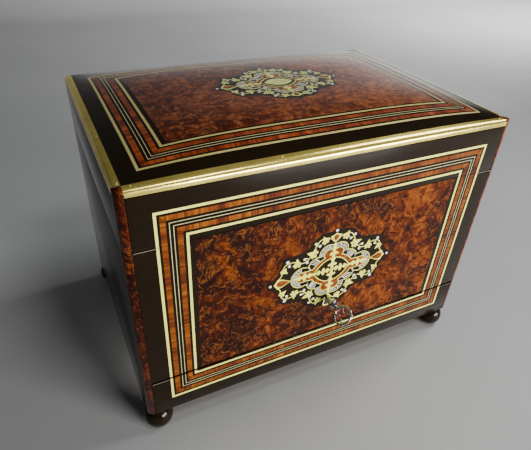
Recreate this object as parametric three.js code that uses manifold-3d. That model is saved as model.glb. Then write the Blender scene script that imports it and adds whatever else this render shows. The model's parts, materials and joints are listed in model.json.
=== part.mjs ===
// A wind-up music box: a casket with a domed lid, a fall front and a cylinder movement inside.
// Millimetres, +Z up, front towards -Y. The model below is laid out about the middle of the casket,
// with z = 0 under the feet, and the whole group is then moved along Y so that its bounding box,
// key and hinges included, is centred on the origin.
import * as THREE from 'three';
import { mergeVertices } from 'three/addons/utils/BufferGeometryUtils.js';
import Module from 'manifold-3d';

const wasm = await Module();
wasm.setup();

// ---- Driving dimensions ----
const WIDTH = 330;
const DEPTH = 229;
const BODY_HEIGHT = 218;
const FOOT_HEIGHT = 24;
const FOOT_RADIUS = 12.5;
const FOOT_INSET = 10.5;
const DOME_RISE = 11.6;
const DOME_POWER = 3.44;
const LID_SEAM = 171.5;
const FLAP_SEAM = 38;
const FLOOR_RISE = 38;
const WALL = 12;
const POST_X = 6.2;
const POST_Y = 7;
const GAP = 0.3;
const BOARD = 6;
const COVER_DROP = 12.5;

const EDGING_HEIGHT = 5;
const EDGING_WIDTH = 7;
const FLAP_PIVOT_INSET = 3;
const FLAP_HEEL = 1.4;
const BOLT_TRAVEL = 10;
const PLAQUE_LENGTH = 123;
const PLAQUE_HEIGHT = 84;
const PLAQUE_DEPTH = 1.5;
const PLAQUE_RISE = 107.5;
const KEY_RISE = 77;
const KEY_BOW_REACH = 27.5;
const KEY_BOW_RADIUS = 8.5;
const KEY_REST_TURN = 45;
const KEYHOLE_RADIUS = 3.4;
const PIVOT_RADIUS = 1.5;
const PIVOT_BORE = 1.8;
const HINGE_SPACING = 110;
const KNUCKLE_RADIUS = 1.5;
const LEAF = 1.2;

const AXIS_RISE = 31;
const CYLINDER_RADIUS = 24;
const CYLINDER_LEFT = -55;
const CYLINDER_RIGHT = 85;
const ARBOR_RADIUS = 3;
const BOSS_RADIUS = 10;
const BORE_CLEARANCE = 0.4;
const BARREL_TEETH = 60;
const PINION_TEETH = 15;
const BARREL_MODULE = 0.9;
const GREAT_TEETH = 72;
const GOVERNOR_TEETH = 12;
const FINE_MODULE = 0.75;
const WORM_WHEEL_TEETH = 24;
const WORM_RADIUS = 2.6;
const RATCHET_TEETH = 24;
const RATCHET_X = -124;
const COMB_TEETH = 46;
const LEVER_REACH = 54;

// ---- Levels and planes worked out from them ----
const SIDE = WIDTH / 2;
const BACK = DEPTH / 2;
const FRONT = -BACK;
const BASE_Z = FOOT_HEIGHT;
const RIM_Z = FOOT_HEIGHT + BODY_HEIGHT;
const LID_Z = FOOT_HEIGHT + LID_SEAM;
const FLAP_Z = FOOT_HEIGHT + FLAP_SEAM;
const KEY_Z = FOOT_HEIGHT + KEY_RISE;
const PLAQUE_Z = FOOT_HEIGHT + PLAQUE_RISE;
const INNER_X = SIDE - WALL;
const INNER_Y = BACK - WALL;
const POST_EDGE_X = SIDE - POST_X;
const POST_EDGE_Y = FRONT + POST_Y;
const HALF_GAP = GAP / 2;
const EDGING_Z = RIM_Z - EDGING_HEIGHT;
const LID_BOARD_Z = EDGING_Z - 8;
const FLOOR_Z = FOOT_HEIGHT + FLOOR_RISE;
const BED_Z = FLOOR_Z + BOARD;
const AXIS_Z = BED_Z + AXIS_RISE;
const BARREL_Y = (BARREL_TEETH + PINION_TEETH) * BARREL_MODULE / 2;
const GOVERNOR_Y = (GREAT_TEETH + GOVERNOR_TEETH) * FINE_MODULE / 2;
const WORM_WHEEL_RADIUS = WORM_WHEEL_TEETH * FINE_MODULE / 2;
const WORM_X = 104;
const WORM_Y = GOVERNOR_Y + WORM_RADIUS + WORM_WHEEL_RADIUS;
const KEY_REACH = KEY_BOW_REACH + KEY_BOW_RADIUS;
const HINGE_AXIS_Y = BACK + GAP + KNUCKLE_RADIUS;
const HINGE_REACH = HINGE_AXIS_Y + KNUCKLE_RADIUS - BACK;
const COVER_Z = LID_Z - COVER_DROP;
const FLAP_PIVOT_Y = FRONT + FLAP_PIVOT_INSET;
const FLAP_PIVOT_Z = FLAP_Z + FLAP_PIVOT_INSET;
const BOLT_SHIFT = BOLT_TRAVEL * Math.SQRT1_2;
const CLICK_Y = BARREL_Y - 17;
const CLICK_Z = AXIS_Z + 9;

// ---- Materials ----
const finish = (color, roughness, metalness = 0) =>
  new THREE.MeshStandardMaterial({ color, roughness, metalness });
const MATERIALS = {
  burl: finish(0x8a4520, 0.25),
  ebony: finish(0x1d1712, 0.2),
  pine: finish(0xb98b57, 0.7),
  marquetry: finish(0xb99a5c, 0.35, 0.3),
  brass: finish(0xc8a850, 0.3, 1),
  steel: finish(0x9a9da0, 0.3, 1),
  iron: finish(0x3a3a3c, 0.5, 0.9),
  springSteel: finish(0x4c5a70, 0.3, 1),
  glass: finish(0xdfe8e6, 0.05),
};

const musicBox = new THREE.Group();

function add(name, geometry, material) {
  const mesh = new THREE.Mesh(geometry, MATERIALS[material]);
  mesh.name = name;
  musicBox.add(mesh);
}

// ---- Solid helpers ----
function toSolid(geometry) {
  const bare = geometry.clone();
  bare.deleteAttribute('normal');
  bare.deleteAttribute('uv');
  const merged = mergeVertices(bare, 1e-5);
  return new wasm.Manifold(new wasm.Mesh({
    numProp: 3,
    vertProperties: new Float32Array(merged.attributes.position.array),
    triVerts: new Uint32Array(merged.index.array),
  }));
}

function toGeometry(solid) {
  const mesh = solid.getMesh();
  const geometry = new THREE.BufferGeometry();
  geometry.setAttribute('position', new THREE.BufferAttribute(new Float32Array(mesh.vertProperties), 3));
  geometry.setIndex(new THREE.BufferAttribute(new Uint32Array(mesh.triVerts), 1));
  geometry.computeVertexNormals();
  return geometry;
}

const join = (...pieces) => toGeometry(pieces.map(toSolid).reduce((a, b) => a.add(b)));
const cut = (body, ...tools) => toGeometry(tools.map(toSolid).reduce((a, b) => a.subtract(b), toSolid(body)));
const common = (a, b) => toGeometry(toSolid(a).intersect(toSolid(b)));

function box(x0, x1, y0, y1, z0, z1) {
  const geometry = new THREE.BoxGeometry(x1 - x0, y1 - y0, z1 - z0);
  return geometry.translate((x0 + x1) / 2, (y0 + y1) / 2, (z0 + z1) / 2);
}

function rodX(radius, x0, x1, y, z, sides = 16) {
  const geometry = new THREE.CylinderGeometry(radius, radius, x1 - x0, sides);
  return geometry.rotateZ(Math.PI / 2).translate((x0 + x1) / 2, y, z);
}

function rodY(radius, y0, y1, x, z, sides = 16) {
  return new THREE.CylinderGeometry(radius, radius, y1 - y0, sides).translate(x, (y0 + y1) / 2, z);
}

function rodZ(radius, z0, z1, x, y, sides = 16) {
  const geometry = new THREE.CylinderGeometry(radius, radius, z1 - z0, sides);
  return geometry.rotateX(Math.PI / 2).translate(x, y, (z0 + z1) / 2);
}

// A flat outline in X and Y, raised from z0 to z1.
function raised(shape, z0, z1, curveSegments = 5) {
  const geometry = new THREE.ExtrudeGeometry(shape, { depth: z1 - z0, bevelEnabled: false, curveSegments });
  return geometry.translate(0, 0, z0);
}

// A flat outline whose own axes become Y and Z, run from x0 to x1.
function alongX(shape, x0, x1, y = 0, z = 0) {
  const settings = { depth: x1 - x0, bevelEnabled: false, curveSegments: 7 };
  const geometry = new THREE.ExtrudeGeometry(shape, settings);
  return geometry.rotateX(Math.PI / 2).rotateZ(Math.PI / 2).translate(x0, y, z);
}

const mirrorX = (geometry) => toGeometry(toSolid(geometry).mirror([1, 0, 0]));

// ---- Casket outlines ----
// The post at the left front corner, with its outer corner rounded.
function postOutline() {
  const shape = new THREE.Shape();
  shape.moveTo(-POST_EDGE_X, FRONT);
  shape.lineTo(-POST_EDGE_X, POST_EDGE_Y);
  shape.lineTo(-SIDE, POST_EDGE_Y);
  shape.lineTo(-SIDE, FRONT + POST_X);
  shape.absarc(-POST_EDGE_X, FRONT + POST_X, POST_X, Math.PI, 1.5 * Math.PI, false);
  return shape;
}

// The left wall: rebated at the front for the post and the flap, rounded at the rear corner.
function sideOutline() {
  const shape = new THREE.Shape();
  shape.moveTo(-SIDE, POST_EDGE_Y + GAP);
  shape.lineTo(-POST_EDGE_X, POST_EDGE_Y + GAP);
  shape.lineTo(-POST_EDGE_X, GAP - INNER_Y);
  shape.lineTo(-INNER_X, GAP - INNER_Y);
  shape.lineTo(-INNER_X, BACK);
  shape.lineTo(-POST_EDGE_X, BACK);
  shape.absarc(-POST_EDGE_X, BACK - POST_X, POST_X, Math.PI / 2, Math.PI, false);
  return shape;
}

// Everything under the domed top of the lid, down to the bottom of the lid board.
function domeSolid() {
  const columns = 18;
  const rows = 14;
  const geometry = new THREE.PlaneGeometry(WIDTH, DEPTH, columns, rows);
  const position = geometry.attributes.position;
  for (let i = 0; i < position.count; i += 1) {
    const u = Math.abs(position.getX(i) / SIDE) ** DOME_POWER;
    const v = Math.abs(position.getY(i) / BACK) ** DOME_POWER;
    position.setZ(i, RIM_Z + DOME_RISE * (1 - u) * (1 - v));
  }
  const top = Array.from(position.array);
  const index = Array.from(geometry.index.array);
  const rim = [];
  for (let c = 0; c < columns; c += 1) rim.push(c);
  for (let r = 0; r < rows; r += 1) rim.push(r * (columns + 1) + columns);
  for (let c = columns; c > 0; c -= 1) rim.push(rows * (columns + 1) + c);
  for (let r = rows; r > 0; r -= 1) rim.push(r * (columns + 1));
  const first = top.length / 3;
  for (const corner of rim) top.push(top[3 * corner], top[3 * corner + 1], LID_BOARD_Z);
  top.push(0, 0, LID_BOARD_Z);
  const middle = first + rim.length;
  rim.forEach((corner, i) => {
    const next = (i + 1) % rim.length;
    index.push(corner, rim[next], first + i, rim[next], first + next, first + i);
    index.push(first + i, first + next, middle);
  });
  const solid = new THREE.BufferGeometry();
  solid.setAttribute('position', new THREE.Float32BufferAttribute(top, 3));
  solid.setIndex(index);
  return solid;
}

// The pointed oval of the two marquetry plaques, as a superellipse.
function plaqueOutline(grow = 0) {
  const points = [];
  const steps = 36;
  for (let i = 0; i < steps; i += 1) {
    const angle = (2 * Math.PI * i) / steps;
    const c = Math.cos(angle);
    const s = Math.sin(angle);
    points.push(new THREE.Vector2(
      (PLAQUE_LENGTH / 2 + grow) * Math.sign(c) * Math.abs(c) ** 1.3,
      (PLAQUE_HEIGHT / 2 + grow) * Math.sign(s) * Math.abs(s) ** 1.3,
    ));
  }
  return new THREE.Shape(points);
}

// ---- Gear outlines ----
function gearShape(teeth, module, addendum = 0.8, dedendum = 1.3) {
  const radius = (teeth * module) / 2;
  const half = Math.PI / teeth;
  const shape = new THREE.Shape();
  for (let i = 0; i < teeth; i += 1) {
    for (const [share, reach] of [[-0.6, -dedendum], [-0.2, addendum], [0.2, addendum], [0.6, -dedendum]]) {
      const angle = 2 * half * i + share * half;
      const r = radius + reach * module;
      const method = i === 0 && share === -0.6 ? 'moveTo' : 'lineTo';
      shape[method](r * Math.cos(angle), r * Math.sin(angle));
    }
  }
  return shape;
}

function withBore(shape, radius) {
  const hole = new THREE.Path();
  hole.absarc(0, 0, radius, 0, 2 * Math.PI, true);
  shape.holes.push(hole);
  return shape;
}

// A screw thread of one start about Z, as a swept trapezium.
function threadSolid(rootRadius, tipRadius, lead, turns, rootHalf, tipHalf) {
  const perTurn = 12;
  const sections = turns * perTurn;
  const section = [
    [rootRadius, -rootHalf], [tipRadius, -tipHalf], [tipRadius, tipHalf], [rootRadius, rootHalf],
  ];
  const points = [];
  const index = [];
  for (let i = 0; i <= sections; i += 1) {
    const angle = (2 * Math.PI * i) / perTurn;
    const rise = lead * (i / perTurn - turns / 2);
    for (const [r, half] of section) {
      points.push(r * Math.cos(angle), r * Math.sin(angle), rise + half);
    }
  }
  for (let i = 0; i < sections; i += 1) {
    for (let k = 0; k < 4; k += 1) {
      const a = 4 * i + k;
      const b = 4 * i + ((k + 1) % 4);
      index.push(a, a + 4, b, b, a + 4, b + 4);
    }
  }
  const last = 4 * sections;
  index.push(0, 1, 2, 0, 2, 3, last, last + 2, last + 1, last, last + 3, last + 2);
  const geometry = new THREE.BufferGeometry();
  geometry.setAttribute('position', new THREE.Float32BufferAttribute(points, 3));
  geometry.setIndex(index);
  return geometry;
}

// ---- Case ----
function makeCase() {
  const top = LID_Z - HALF_GAP;
  const post = cut(
    raised(postOutline(), BASE_Z, top),
    rodX(PIVOT_BORE, 2 - SIDE, 1 - POST_EDGE_X, FLAP_PIVOT_Y, FLAP_PIVOT_Z),
  );
  const side = raised(sideOutline(), BASE_Z, top);
  add('corner_post_left', post, 'burl');
  add('corner_post_right', mirrorX(post), 'burl');
  add('side_left', side, 'ebony');
  add('side_right', mirrorX(side), 'ebony');
  add('case_back', box(GAP - INNER_X, INNER_X - GAP, INNER_Y, BACK, BASE_Z, top), 'ebony');
  const sillTop = FLAP_Z - HALF_GAP;
  add('front_sill', box(GAP - POST_EDGE_X, POST_EDGE_X - GAP, FRONT, -INNER_Y, BASE_Z, sillTop), 'ebony');
  const boardX = INNER_X - GAP;
  const boardY = INNER_Y - GAP;
  add('bottom_board', box(-boardX, boardX, -boardY, boardY, BASE_Z + 2, BASE_Z + 10), 'pine');
  add('sound_board', box(-boardX, boardX, -boardY, boardY, FLOOR_Z - BOARD, FLOOR_Z), 'pine');
}

function makeFeet() {
  const top = FOOT_HEIGHT - GAP;
  const profile = [
    [0, 0], [6, 0], [9.5, 2.2], [12, 6.5], [FOOT_RADIUS, 11],
    [11.6, 15.5], [9, 19.5], [7.5, 21], [7.5, top], [0, top],
  ];
  const points = profile.map(([r, z]) => new THREE.Vector2(r, z));
  const footX = SIDE - FOOT_INSET;
  const footY = BACK - FOOT_INSET;
  for (const [end, y] of [['front', -footY], ['rear', footY]]) {
    for (const [side, x] of [['left', -footX], ['right', footX]]) {
      const foot = new THREE.LatheGeometry(points, 16).rotateX(Math.PI / 2).translate(x, y, 0);
      add(`foot_${end}_${side}`, toGeometry(toSolid(foot)), 'ebony');
    }
  }
}

// A fixed glazed frame over the movement, with a cheek down each side wall.
function makeDustCover() {
  const z = COVER_Z;
  const sideX = INNER_X - GAP;
  const back = INNER_Y - GAP;
  const front = -94;
  const rail = 4;
  const cheek = { width: 7, drop: 10 };
  const frame = cut(
    join(
      box(-sideX, sideX, front, back, z, z + rail),
      box(-sideX, cheek.width - sideX, front, back, z - cheek.drop, z + 1),
      box(sideX - cheek.width, sideX, front, back, z - cheek.drop, z + 1),
    ),
    box(-140, 140, front + 12, back - 12, z - 1, z + rail + 1),
  );
  add('dust_cover_frame', frame, 'ebony');
  const glassZ = z + rail + GAP;
  add('dust_cover_glass', box(-146, 146, front + 6, back - 6, glassZ, glassZ + 2.5), 'glass');
}

// ---- Lid ----
function makeLid() {
  const bottom = LID_Z + HALF_GAP;
  const top = RIM_Z + DOME_RISE;
  const dome = domeSolid();
  const rail = EDGING_Z - HALF_GAP;
  const side = raised(sideOutline(), bottom, rail);
  add('lid_left', side, 'ebony');
  add('lid_right', mirrorX(side), 'ebony');
  const frontX = POST_EDGE_X - GAP;
  add('lid_front', box(-frontX, frontX, FRONT, -INNER_Y, bottom, rail), 'ebony');
  add('lid_back', box(GAP - INNER_X, INNER_X - GAP, INNER_Y, BACK, bottom, rail), 'ebony');
  const cornerTop = common(raised(postOutline(), EDGING_Z - 2, top), dome);
  const corner = join(raised(postOutline(), bottom, EDGING_Z - 1), cornerTop);
  add('lid_corner_left', corner, 'burl');
  add('lid_corner_right', mirrorX(corner), 'burl');
  const boardX = SIDE - EDGING_WIDTH - GAP;
  const boardFront = FRONT + EDGING_WIDTH + GAP;
  const board = join(
    box(-boardX, boardX, boardFront, BACK, EDGING_Z + HALF_GAP, top + 1),
    box(GAP - INNER_X, INNER_X - GAP, GAP - INNER_Y, INNER_Y - GAP, LID_BOARD_Z - 1, EDGING_Z + 1),
  );
  const plaqueFoot = top - 2 * PLAQUE_DEPTH;
  const recess = raised(plaqueOutline(GAP), plaqueFoot, top + 5);
  add('lid_top', cut(common(board, dome), recess), 'burl');
  const plaque = raised(plaqueOutline(), plaqueFoot + GAP, top + 1);
  add('lid_medallion', common(plaque, dome), 'marquetry');
  makeEdging(dome);
  makeStriker();
}

// An angle plate inside the lid's front wall, with the slot that the lock's bolt hooks into.
function makeStriker() {
  const z = LID_Z + 0.7;
  const left = -9;
  const right = 17;
  const thickness = 1.2;
  const striker = cut(
    join(
      box(left, right, GAP - INNER_Y, GAP + thickness - INNER_Y, z, z + 15),
      box(left, right, GAP - INNER_Y, 9 - INNER_Y, z, z + thickness),
    ),
    box(-3, 9.5, 1.8 - INNER_Y, 7.2 - INNER_Y, z - 1, z + thickness + 1),
  );
  add('lid_striker', striker, 'brass');
}

// The brass edging along the front and both sides of the lid's rim.
function makeEdging(dome) {
  const round = 2.5;
  const bottom = EDGING_Z + HALF_GAP;
  const overDome = RIM_Z + 5;
  const lip = RIM_Z + 0.6;
  const shape = new THREE.Shape();
  shape.moveTo(0, bottom);
  shape.lineTo(EDGING_WIDTH, bottom);
  shape.lineTo(EDGING_WIDTH, overDome);
  shape.lineTo(round, overDome);
  shape.lineTo(round, lip);
  shape.absarc(round, lip - round, round, Math.PI / 2, Math.PI, false);
  const front = alongX(shape, GAP - POST_EDGE_X, POST_EDGE_X - GAP, FRONT);
  add('edging_front', common(front, dome), 'brass');
  const strip = alongX(shape, 0, BACK - POST_EDGE_Y - GAP);
  const left = strip.rotateZ(-Math.PI / 2).translate(-SIDE, BACK, 0);
  const leftEdging = common(left, dome);
  add('edging_left', leftEdging, 'brass');
  add('edging_right', mirrorX(leftEdging), 'brass');
}

// Two brass butt hinges on the back. The fixed half carries the pin.
function makeLidHinges() {
  const half = 16;
  const third = half / 3;
  const leafHeight = 16;
  const relief = 2;
  const pinRadius = 0.7;
  const pinBore = 0.95;
  for (const [name, x] of [['left', -HINGE_SPACING], ['right', HINGE_SPACING]]) {
    const pin = (radius, x0, x1) => rodX(radius, x + x0, x + x1, HINGE_AXIS_Y, LID_Z, 12);
    const knuckle = (x0, x1) => rodX(KNUCKLE_RADIUS, x + x0, x + x1, HINGE_AXIS_Y, LID_Z, 16);
    const leaf = (x0, x1, z0, z1) => {
      return box(x + x0, x + x1, BACK + GAP, BACK + GAP + LEAF, LID_Z + z0, LID_Z + z1);
    };
    const fixed = join(
      leaf(-half, half, -leafHeight, -relief),
      leaf(-half, -third, -relief - 1, 0),
      leaf(third, half, -relief - 1, 0),
      knuckle(-half, -third),
      knuckle(third, half),
      pin(pinRadius, -third - 1, third + 1),
    );
    const moving = cut(
      join(
        leaf(-half, half, relief, leafHeight),
        leaf(GAP - third, third - GAP, 0, relief + 1),
        knuckle(GAP - third, third - GAP),
      ),
      pin(pinBore, -half, half),
    );
    add(`lid_hinge_fixed_${name}`, fixed, 'brass');
    add(`lid_hinge_moving_${name}`, moving, 'brass');
  }
}

// ---- Fall front ----
function makeFallFront() {
  const bottom = FLAP_Z + HALF_GAP;
  const round = FLAP_PIVOT_INSET - HALF_GAP;
  const shape = new THREE.Shape();
  shape.moveTo(FRONT, LID_Z - HALF_GAP);
  shape.lineTo(FRONT, bottom + round);
  shape.absarc(FRONT + round, bottom + round, round, Math.PI, 1.5 * Math.PI, false);
  shape.lineTo(-INNER_Y - FLAP_HEEL, bottom);
  shape.lineTo(-INNER_Y, bottom + FLAP_HEEL);
  shape.lineTo(-INNER_Y, LID_Z - HALF_GAP);
  const board = alongX(shape, GAP - POST_EDGE_X, POST_EDGE_X - GAP);
  const recess = raised(plaqueOutline(GAP), 0, PLAQUE_DEPTH + GAP);
  const face = (geometry) => geometry.rotateX(Math.PI / 2).translate(0, 0, PLAQUE_Z);
  const grip = 8;
  const flap = cut(
    board,
    face(recess).translate(0, FRONT + PLAQUE_DEPTH + GAP, 0),
    rodY(KEYHOLE_RADIUS, FRONT - 1, 1 - INNER_Y, 0, KEY_Z),
    rodX(PIVOT_BORE, -SIDE, grip + 1 - POST_EDGE_X, FLAP_PIVOT_Y, FLAP_PIVOT_Z),
    rodX(PIVOT_BORE, POST_EDGE_X - grip - 1, SIDE, FLAP_PIVOT_Y, FLAP_PIVOT_Z),
  );
  add('fall_front_panel', flap, 'burl');
  const plaque = face(raised(plaqueOutline(), 0, PLAQUE_DEPTH)).translate(0, FRONT + PLAQUE_DEPTH, 0);
  add('front_medallion', cut(plaque, rodY(KEYHOLE_RADIUS, FRONT - 1, FRONT + 3, 0, KEY_Z)), 'marquetry');
  const pin = rodX(PIVOT_RADIUS, 2 + GAP - SIDE, grip - POST_EDGE_X, FLAP_PIVOT_Y, FLAP_PIVOT_Z);
  add('fall_front_pivot_left', pin, 'brass');
  add('fall_front_pivot_right', mirrorX(pin), 'brass');
}

// The lock stands on the inside of the fall front. Its hooked bolt slides up and to the right along
// 45 degrees, through a guide at the top, and hooks over the edge of the slot in the lid's striker.
function makeLock() {
  const y0 = GAP - INNER_Y;
  const guideZ = LID_Z - 14;
  const channel = (z0, z1) => box(-2.6, BOLT_SHIFT + 2.6, y0 + 1.5, y0 + 6.2, z0, z1);
  const lockCase = cut(
    join(
      box(-24, 24, y0, y0 + 10, KEY_Z - 13, KEY_Z + 17),
      box(-9, 15, y0, y0 + 1.5, KEY_Z + 16, guideZ + 5),
      box(-9, 15, y0, y0 + 8, guideZ, guideZ + 5),
    ),
    rodY(8.5, y0 + 1.5, y0 + 8, 0, KEY_Z),
    rodY(KEYHOLE_RADIUS, y0 - 1, y0 + 2, 0, KEY_Z),
    channel(KEY_Z + 11, LID_Z - 8),
  );
  add('lock_case', lockCase, 'steel');
  const head = LID_Z - 0.8;
  add('lock_bolt', join(
    box(-2, 2, y0 + 2, y0 + 5.7, KEY_Z + 12, head),
    box(-2, 4.2, y0 + 2, y0 + 5.7, head - 2, head),
  ), 'steel');
}

// The key: barrel, stepped collar and a scrolled bow, turned about Y to its rest angle.
function makeKey() {
  const stem = [
    [0, 0], [2, 0], [2, 23], [3.6, 23.8], [5, 27.4], [3.6, 30.6], [2.2, 31.6], [1.6, 33], [1.6, 39], [0, 39],
  ];
  const start = FRONT + 18;
  const turned = new THREE.LatheGeometry(stem.map(([r, h]) => new THREE.Vector2(r, h)), 12);
  const barrel = turned.rotateX(Math.PI).translate(0, start, 0);
  const wire = 1.3;
  const centre = FRONT - KEY_BOW_REACH;
  const ring = new THREE.TorusGeometry(KEY_BOW_RADIUS - wire, wire, 6, 20).translate(0, centre, 0);
  const curl = (side) => new THREE.TorusGeometry(2.4, 0.9, 5, 12).translate(side * 3, centre + 4, 0);
  const bit = box(1, 7, start - 3.8, start - 1, -1, 1);
  const key = join(barrel, ring, curl(-1), curl(1), bit);
  key.rotateY(THREE.MathUtils.degToRad(-KEY_REST_TURN)).translate(0, 0, KEY_Z);
  add('key', key, 'steel');
}

// ---- Movement: frame ----
function makeBed() {
  add('bedplate', box(-128, 120, -80, 62, FLOOR_Z + GAP, BED_Z), 'iron');
  const z = BED_Z + GAP;
  const hole = ARBOR_RADIUS + BORE_CLEARANCE;
  const boss = (radius, x0, x1, y) => rodX(radius, x0, x1, y, AXIS_Z);
  const bore = (radius, x0, x1, y) => rodX(radius, x0 - 1, x1 + 1, y, AXIS_Z);

  const left = [-63, -57];
  add('left_standard', cut(
    join(
      box(...left, -BOSS_RADIUS, BARREL_Y + BOSS_RADIUS, z, AXIS_Z),
      boss(BOSS_RADIUS, ...left, 0),
      boss(BOSS_RADIUS, ...left, BARREL_Y),
    ),
    bore(hole, ...left, 0),
    bore(hole, ...left, BARREL_Y),
  ), 'brass');

  const outer = [-118, -113];
  add('barrel_standard', cut(
    join(
      box(...outer, BARREL_Y - 14, BARREL_Y + BOSS_RADIUS, z, AXIS_Z),
      boss(BOSS_RADIUS, ...outer, BARREL_Y),
      box(...outer, CLICK_Y - 5, BARREL_Y - 5, AXIS_Z - 4, CLICK_Z + 5),
    ),
    bore(hole, ...outer, BARREL_Y),
    rodX(PIVOT_BORE + 0.1, outer[0] - 1, outer[1] + 1, CLICK_Y, CLICK_Z),
  ), 'brass');

  const right = [92, 97];
  add('right_standard', cut(
    join(
      box(...right, -BOSS_RADIUS, GOVERNOR_Y + 7, z, AXIS_Z),
      boss(BOSS_RADIUS, ...right, 0),
      boss(7, ...right, GOVERNOR_Y),
    ),
    bore(hole, ...right, 0),
    bore(PIVOT_BORE + 0.1, ...right, GOVERNOR_Y),
  ), 'brass');
  makeGovernorFrame(z);
}

// A bracket with a foot and a head that hold the ends of the worm's arbor.
function makeGovernorFrame(z) {
  const plate = [110, 114];
  const arm = [98, 114, WORM_Y - 6, WORM_Y + 7];
  const headZ = AXIS_Z + 16;
  const wormBore = 1.6;
  add('governor_frame', cut(
    join(
      box(...plate, GOVERNOR_Y - 6, WORM_Y + 7, z, headZ + 4),
      box(...arm, z, z + 5),
      box(...arm, headZ, headZ + 4),
    ),
    rodX(PIVOT_BORE + 0.1, plate[0] - 1, plate[1] + 1, GOVERNOR_Y, AXIS_Z),
    rodZ(wormBore, z + 1, z + 6, WORM_X, WORM_Y),
    rodZ(wormBore, headZ - 1, headZ + 5, WORM_X, WORM_Y),
  ), 'brass');
}

// ---- Movement: cylinder ----
function makeCylinder() {
  const bore = ARBOR_RADIUS + 0.3;
  const tube = new THREE.Shape();
  tube.absarc(0, 0, CYLINDER_RADIUS, 0, 2 * Math.PI, false);
  const drum = new THREE.ExtrudeGeometry(withBore(tube, bore), {
    depth: CYLINDER_RIGHT - CYLINDER_LEFT, bevelEnabled: false, curveSegments: 18,
  });
  drum.rotateX(Math.PI / 2).rotateZ(Math.PI / 2).translate(CYLINDER_LEFT, 0, AXIS_Z);
  add('tune_cylinder', drum, 'brass');
  const pinion = gearShape(PINION_TEETH, BARREL_MODULE);
  add('cylinder_arbor', join(
    rodX(ARBOR_RADIUS, -78, 100, 0, AXIS_Z),
    alongX(pinion, -72, -65, 0, AXIS_Z),
  ), 'steel');
  const wheel = withBore(gearShape(GREAT_TEETH, FINE_MODULE), bore);
  add('great_wheel', alongX(wheel, 87, 89.5, 0, AXIS_Z), 'brass');
}

// ---- Movement: comb ----
function makeComb() {
  const left = CYLINDER_LEFT + 1;
  const right = CYLINDER_RIGHT - 1;
  const pitch = (right - left) / COMB_TEETH;
  const tip = -CYLINDER_RADIUS - 1.8;
  const root = tip - 20;
  const heel = root - 14;
  const slot = 0.35 * pitch;
  const shape = new THREE.Shape();
  shape.moveTo(left, heel);
  shape.lineTo(right, heel);
  for (let i = COMB_TEETH; i > 0; i -= 1) {
    const x = left + i * pitch;
    if (i < COMB_TEETH) shape.lineTo(x, root);
    shape.lineTo(x, tip);
    shape.lineTo(x - pitch + slot, tip);
    if (i > 1) shape.lineTo(x - pitch + slot, root);
  }
  shape.lineTo(left, root);
  const z = AXIS_Z - 1.5;
  add('comb', raised(shape, z, z + 2.2), 'steel');
  add('comb_base', box(left - 4, right + 4, -78, root + 2, BED_Z + GAP, z - GAP), 'brass');
}

// ---- Movement: spring barrel and winding ----
function makeBarrel() {
  const bore = ARBOR_RADIUS + BORE_CLEARANCE;
  const radius = 24.5;
  const inside = radius - 2;
  const blank = alongX(gearShape(BARREL_TEETH, BARREL_MODULE), -70.5, -66.5);
  const wheel = blank.rotateX(Math.PI / BARREL_TEETH).translate(0, BARREL_Y, AXIS_Z);
  add('spring_barrel', cut(
    join(wheel, rodX(radius, -108, -70, BARREL_Y, AXIS_Z, 28)),
    rodX(inside, -109, -73, BARREL_Y, AXIS_Z, 28),
    rodX(bore, -74, -66, BARREL_Y, AXIS_Z),
  ), 'brass');
  const cover = new THREE.Shape();
  cover.absarc(0, 0, radius, 0, 2 * Math.PI, false);
  add('barrel_cover', alongX(withBore(cover, bore), -110.5, -108.3, BARREL_Y, AXIS_Z), 'brass');
  const spring = springShape(5, inside - 1, 5, 0.7);
  add('mainspring', alongX(spring, -106, -75, BARREL_Y, AXIS_Z), 'springSteel');
}

// A flat spiral band from an inner to an outer radius.
function springShape(inner, outer, turns, thickness) {
  const steps = turns * 12;
  const outside = [];
  const inside = [];
  for (let i = 0; i <= steps; i += 1) {
    const angle = (2 * Math.PI * i) / 12;
    const r = inner + ((outer - inner) * i) / steps;
    outside.push(new THREE.Vector2((r + thickness) * Math.cos(angle), (r + thickness) * Math.sin(angle)));
    inside.push(new THREE.Vector2(r * Math.cos(angle), r * Math.sin(angle)));
  }
  return new THREE.Shape([...outside, ...inside.reverse()]);
}

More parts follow.
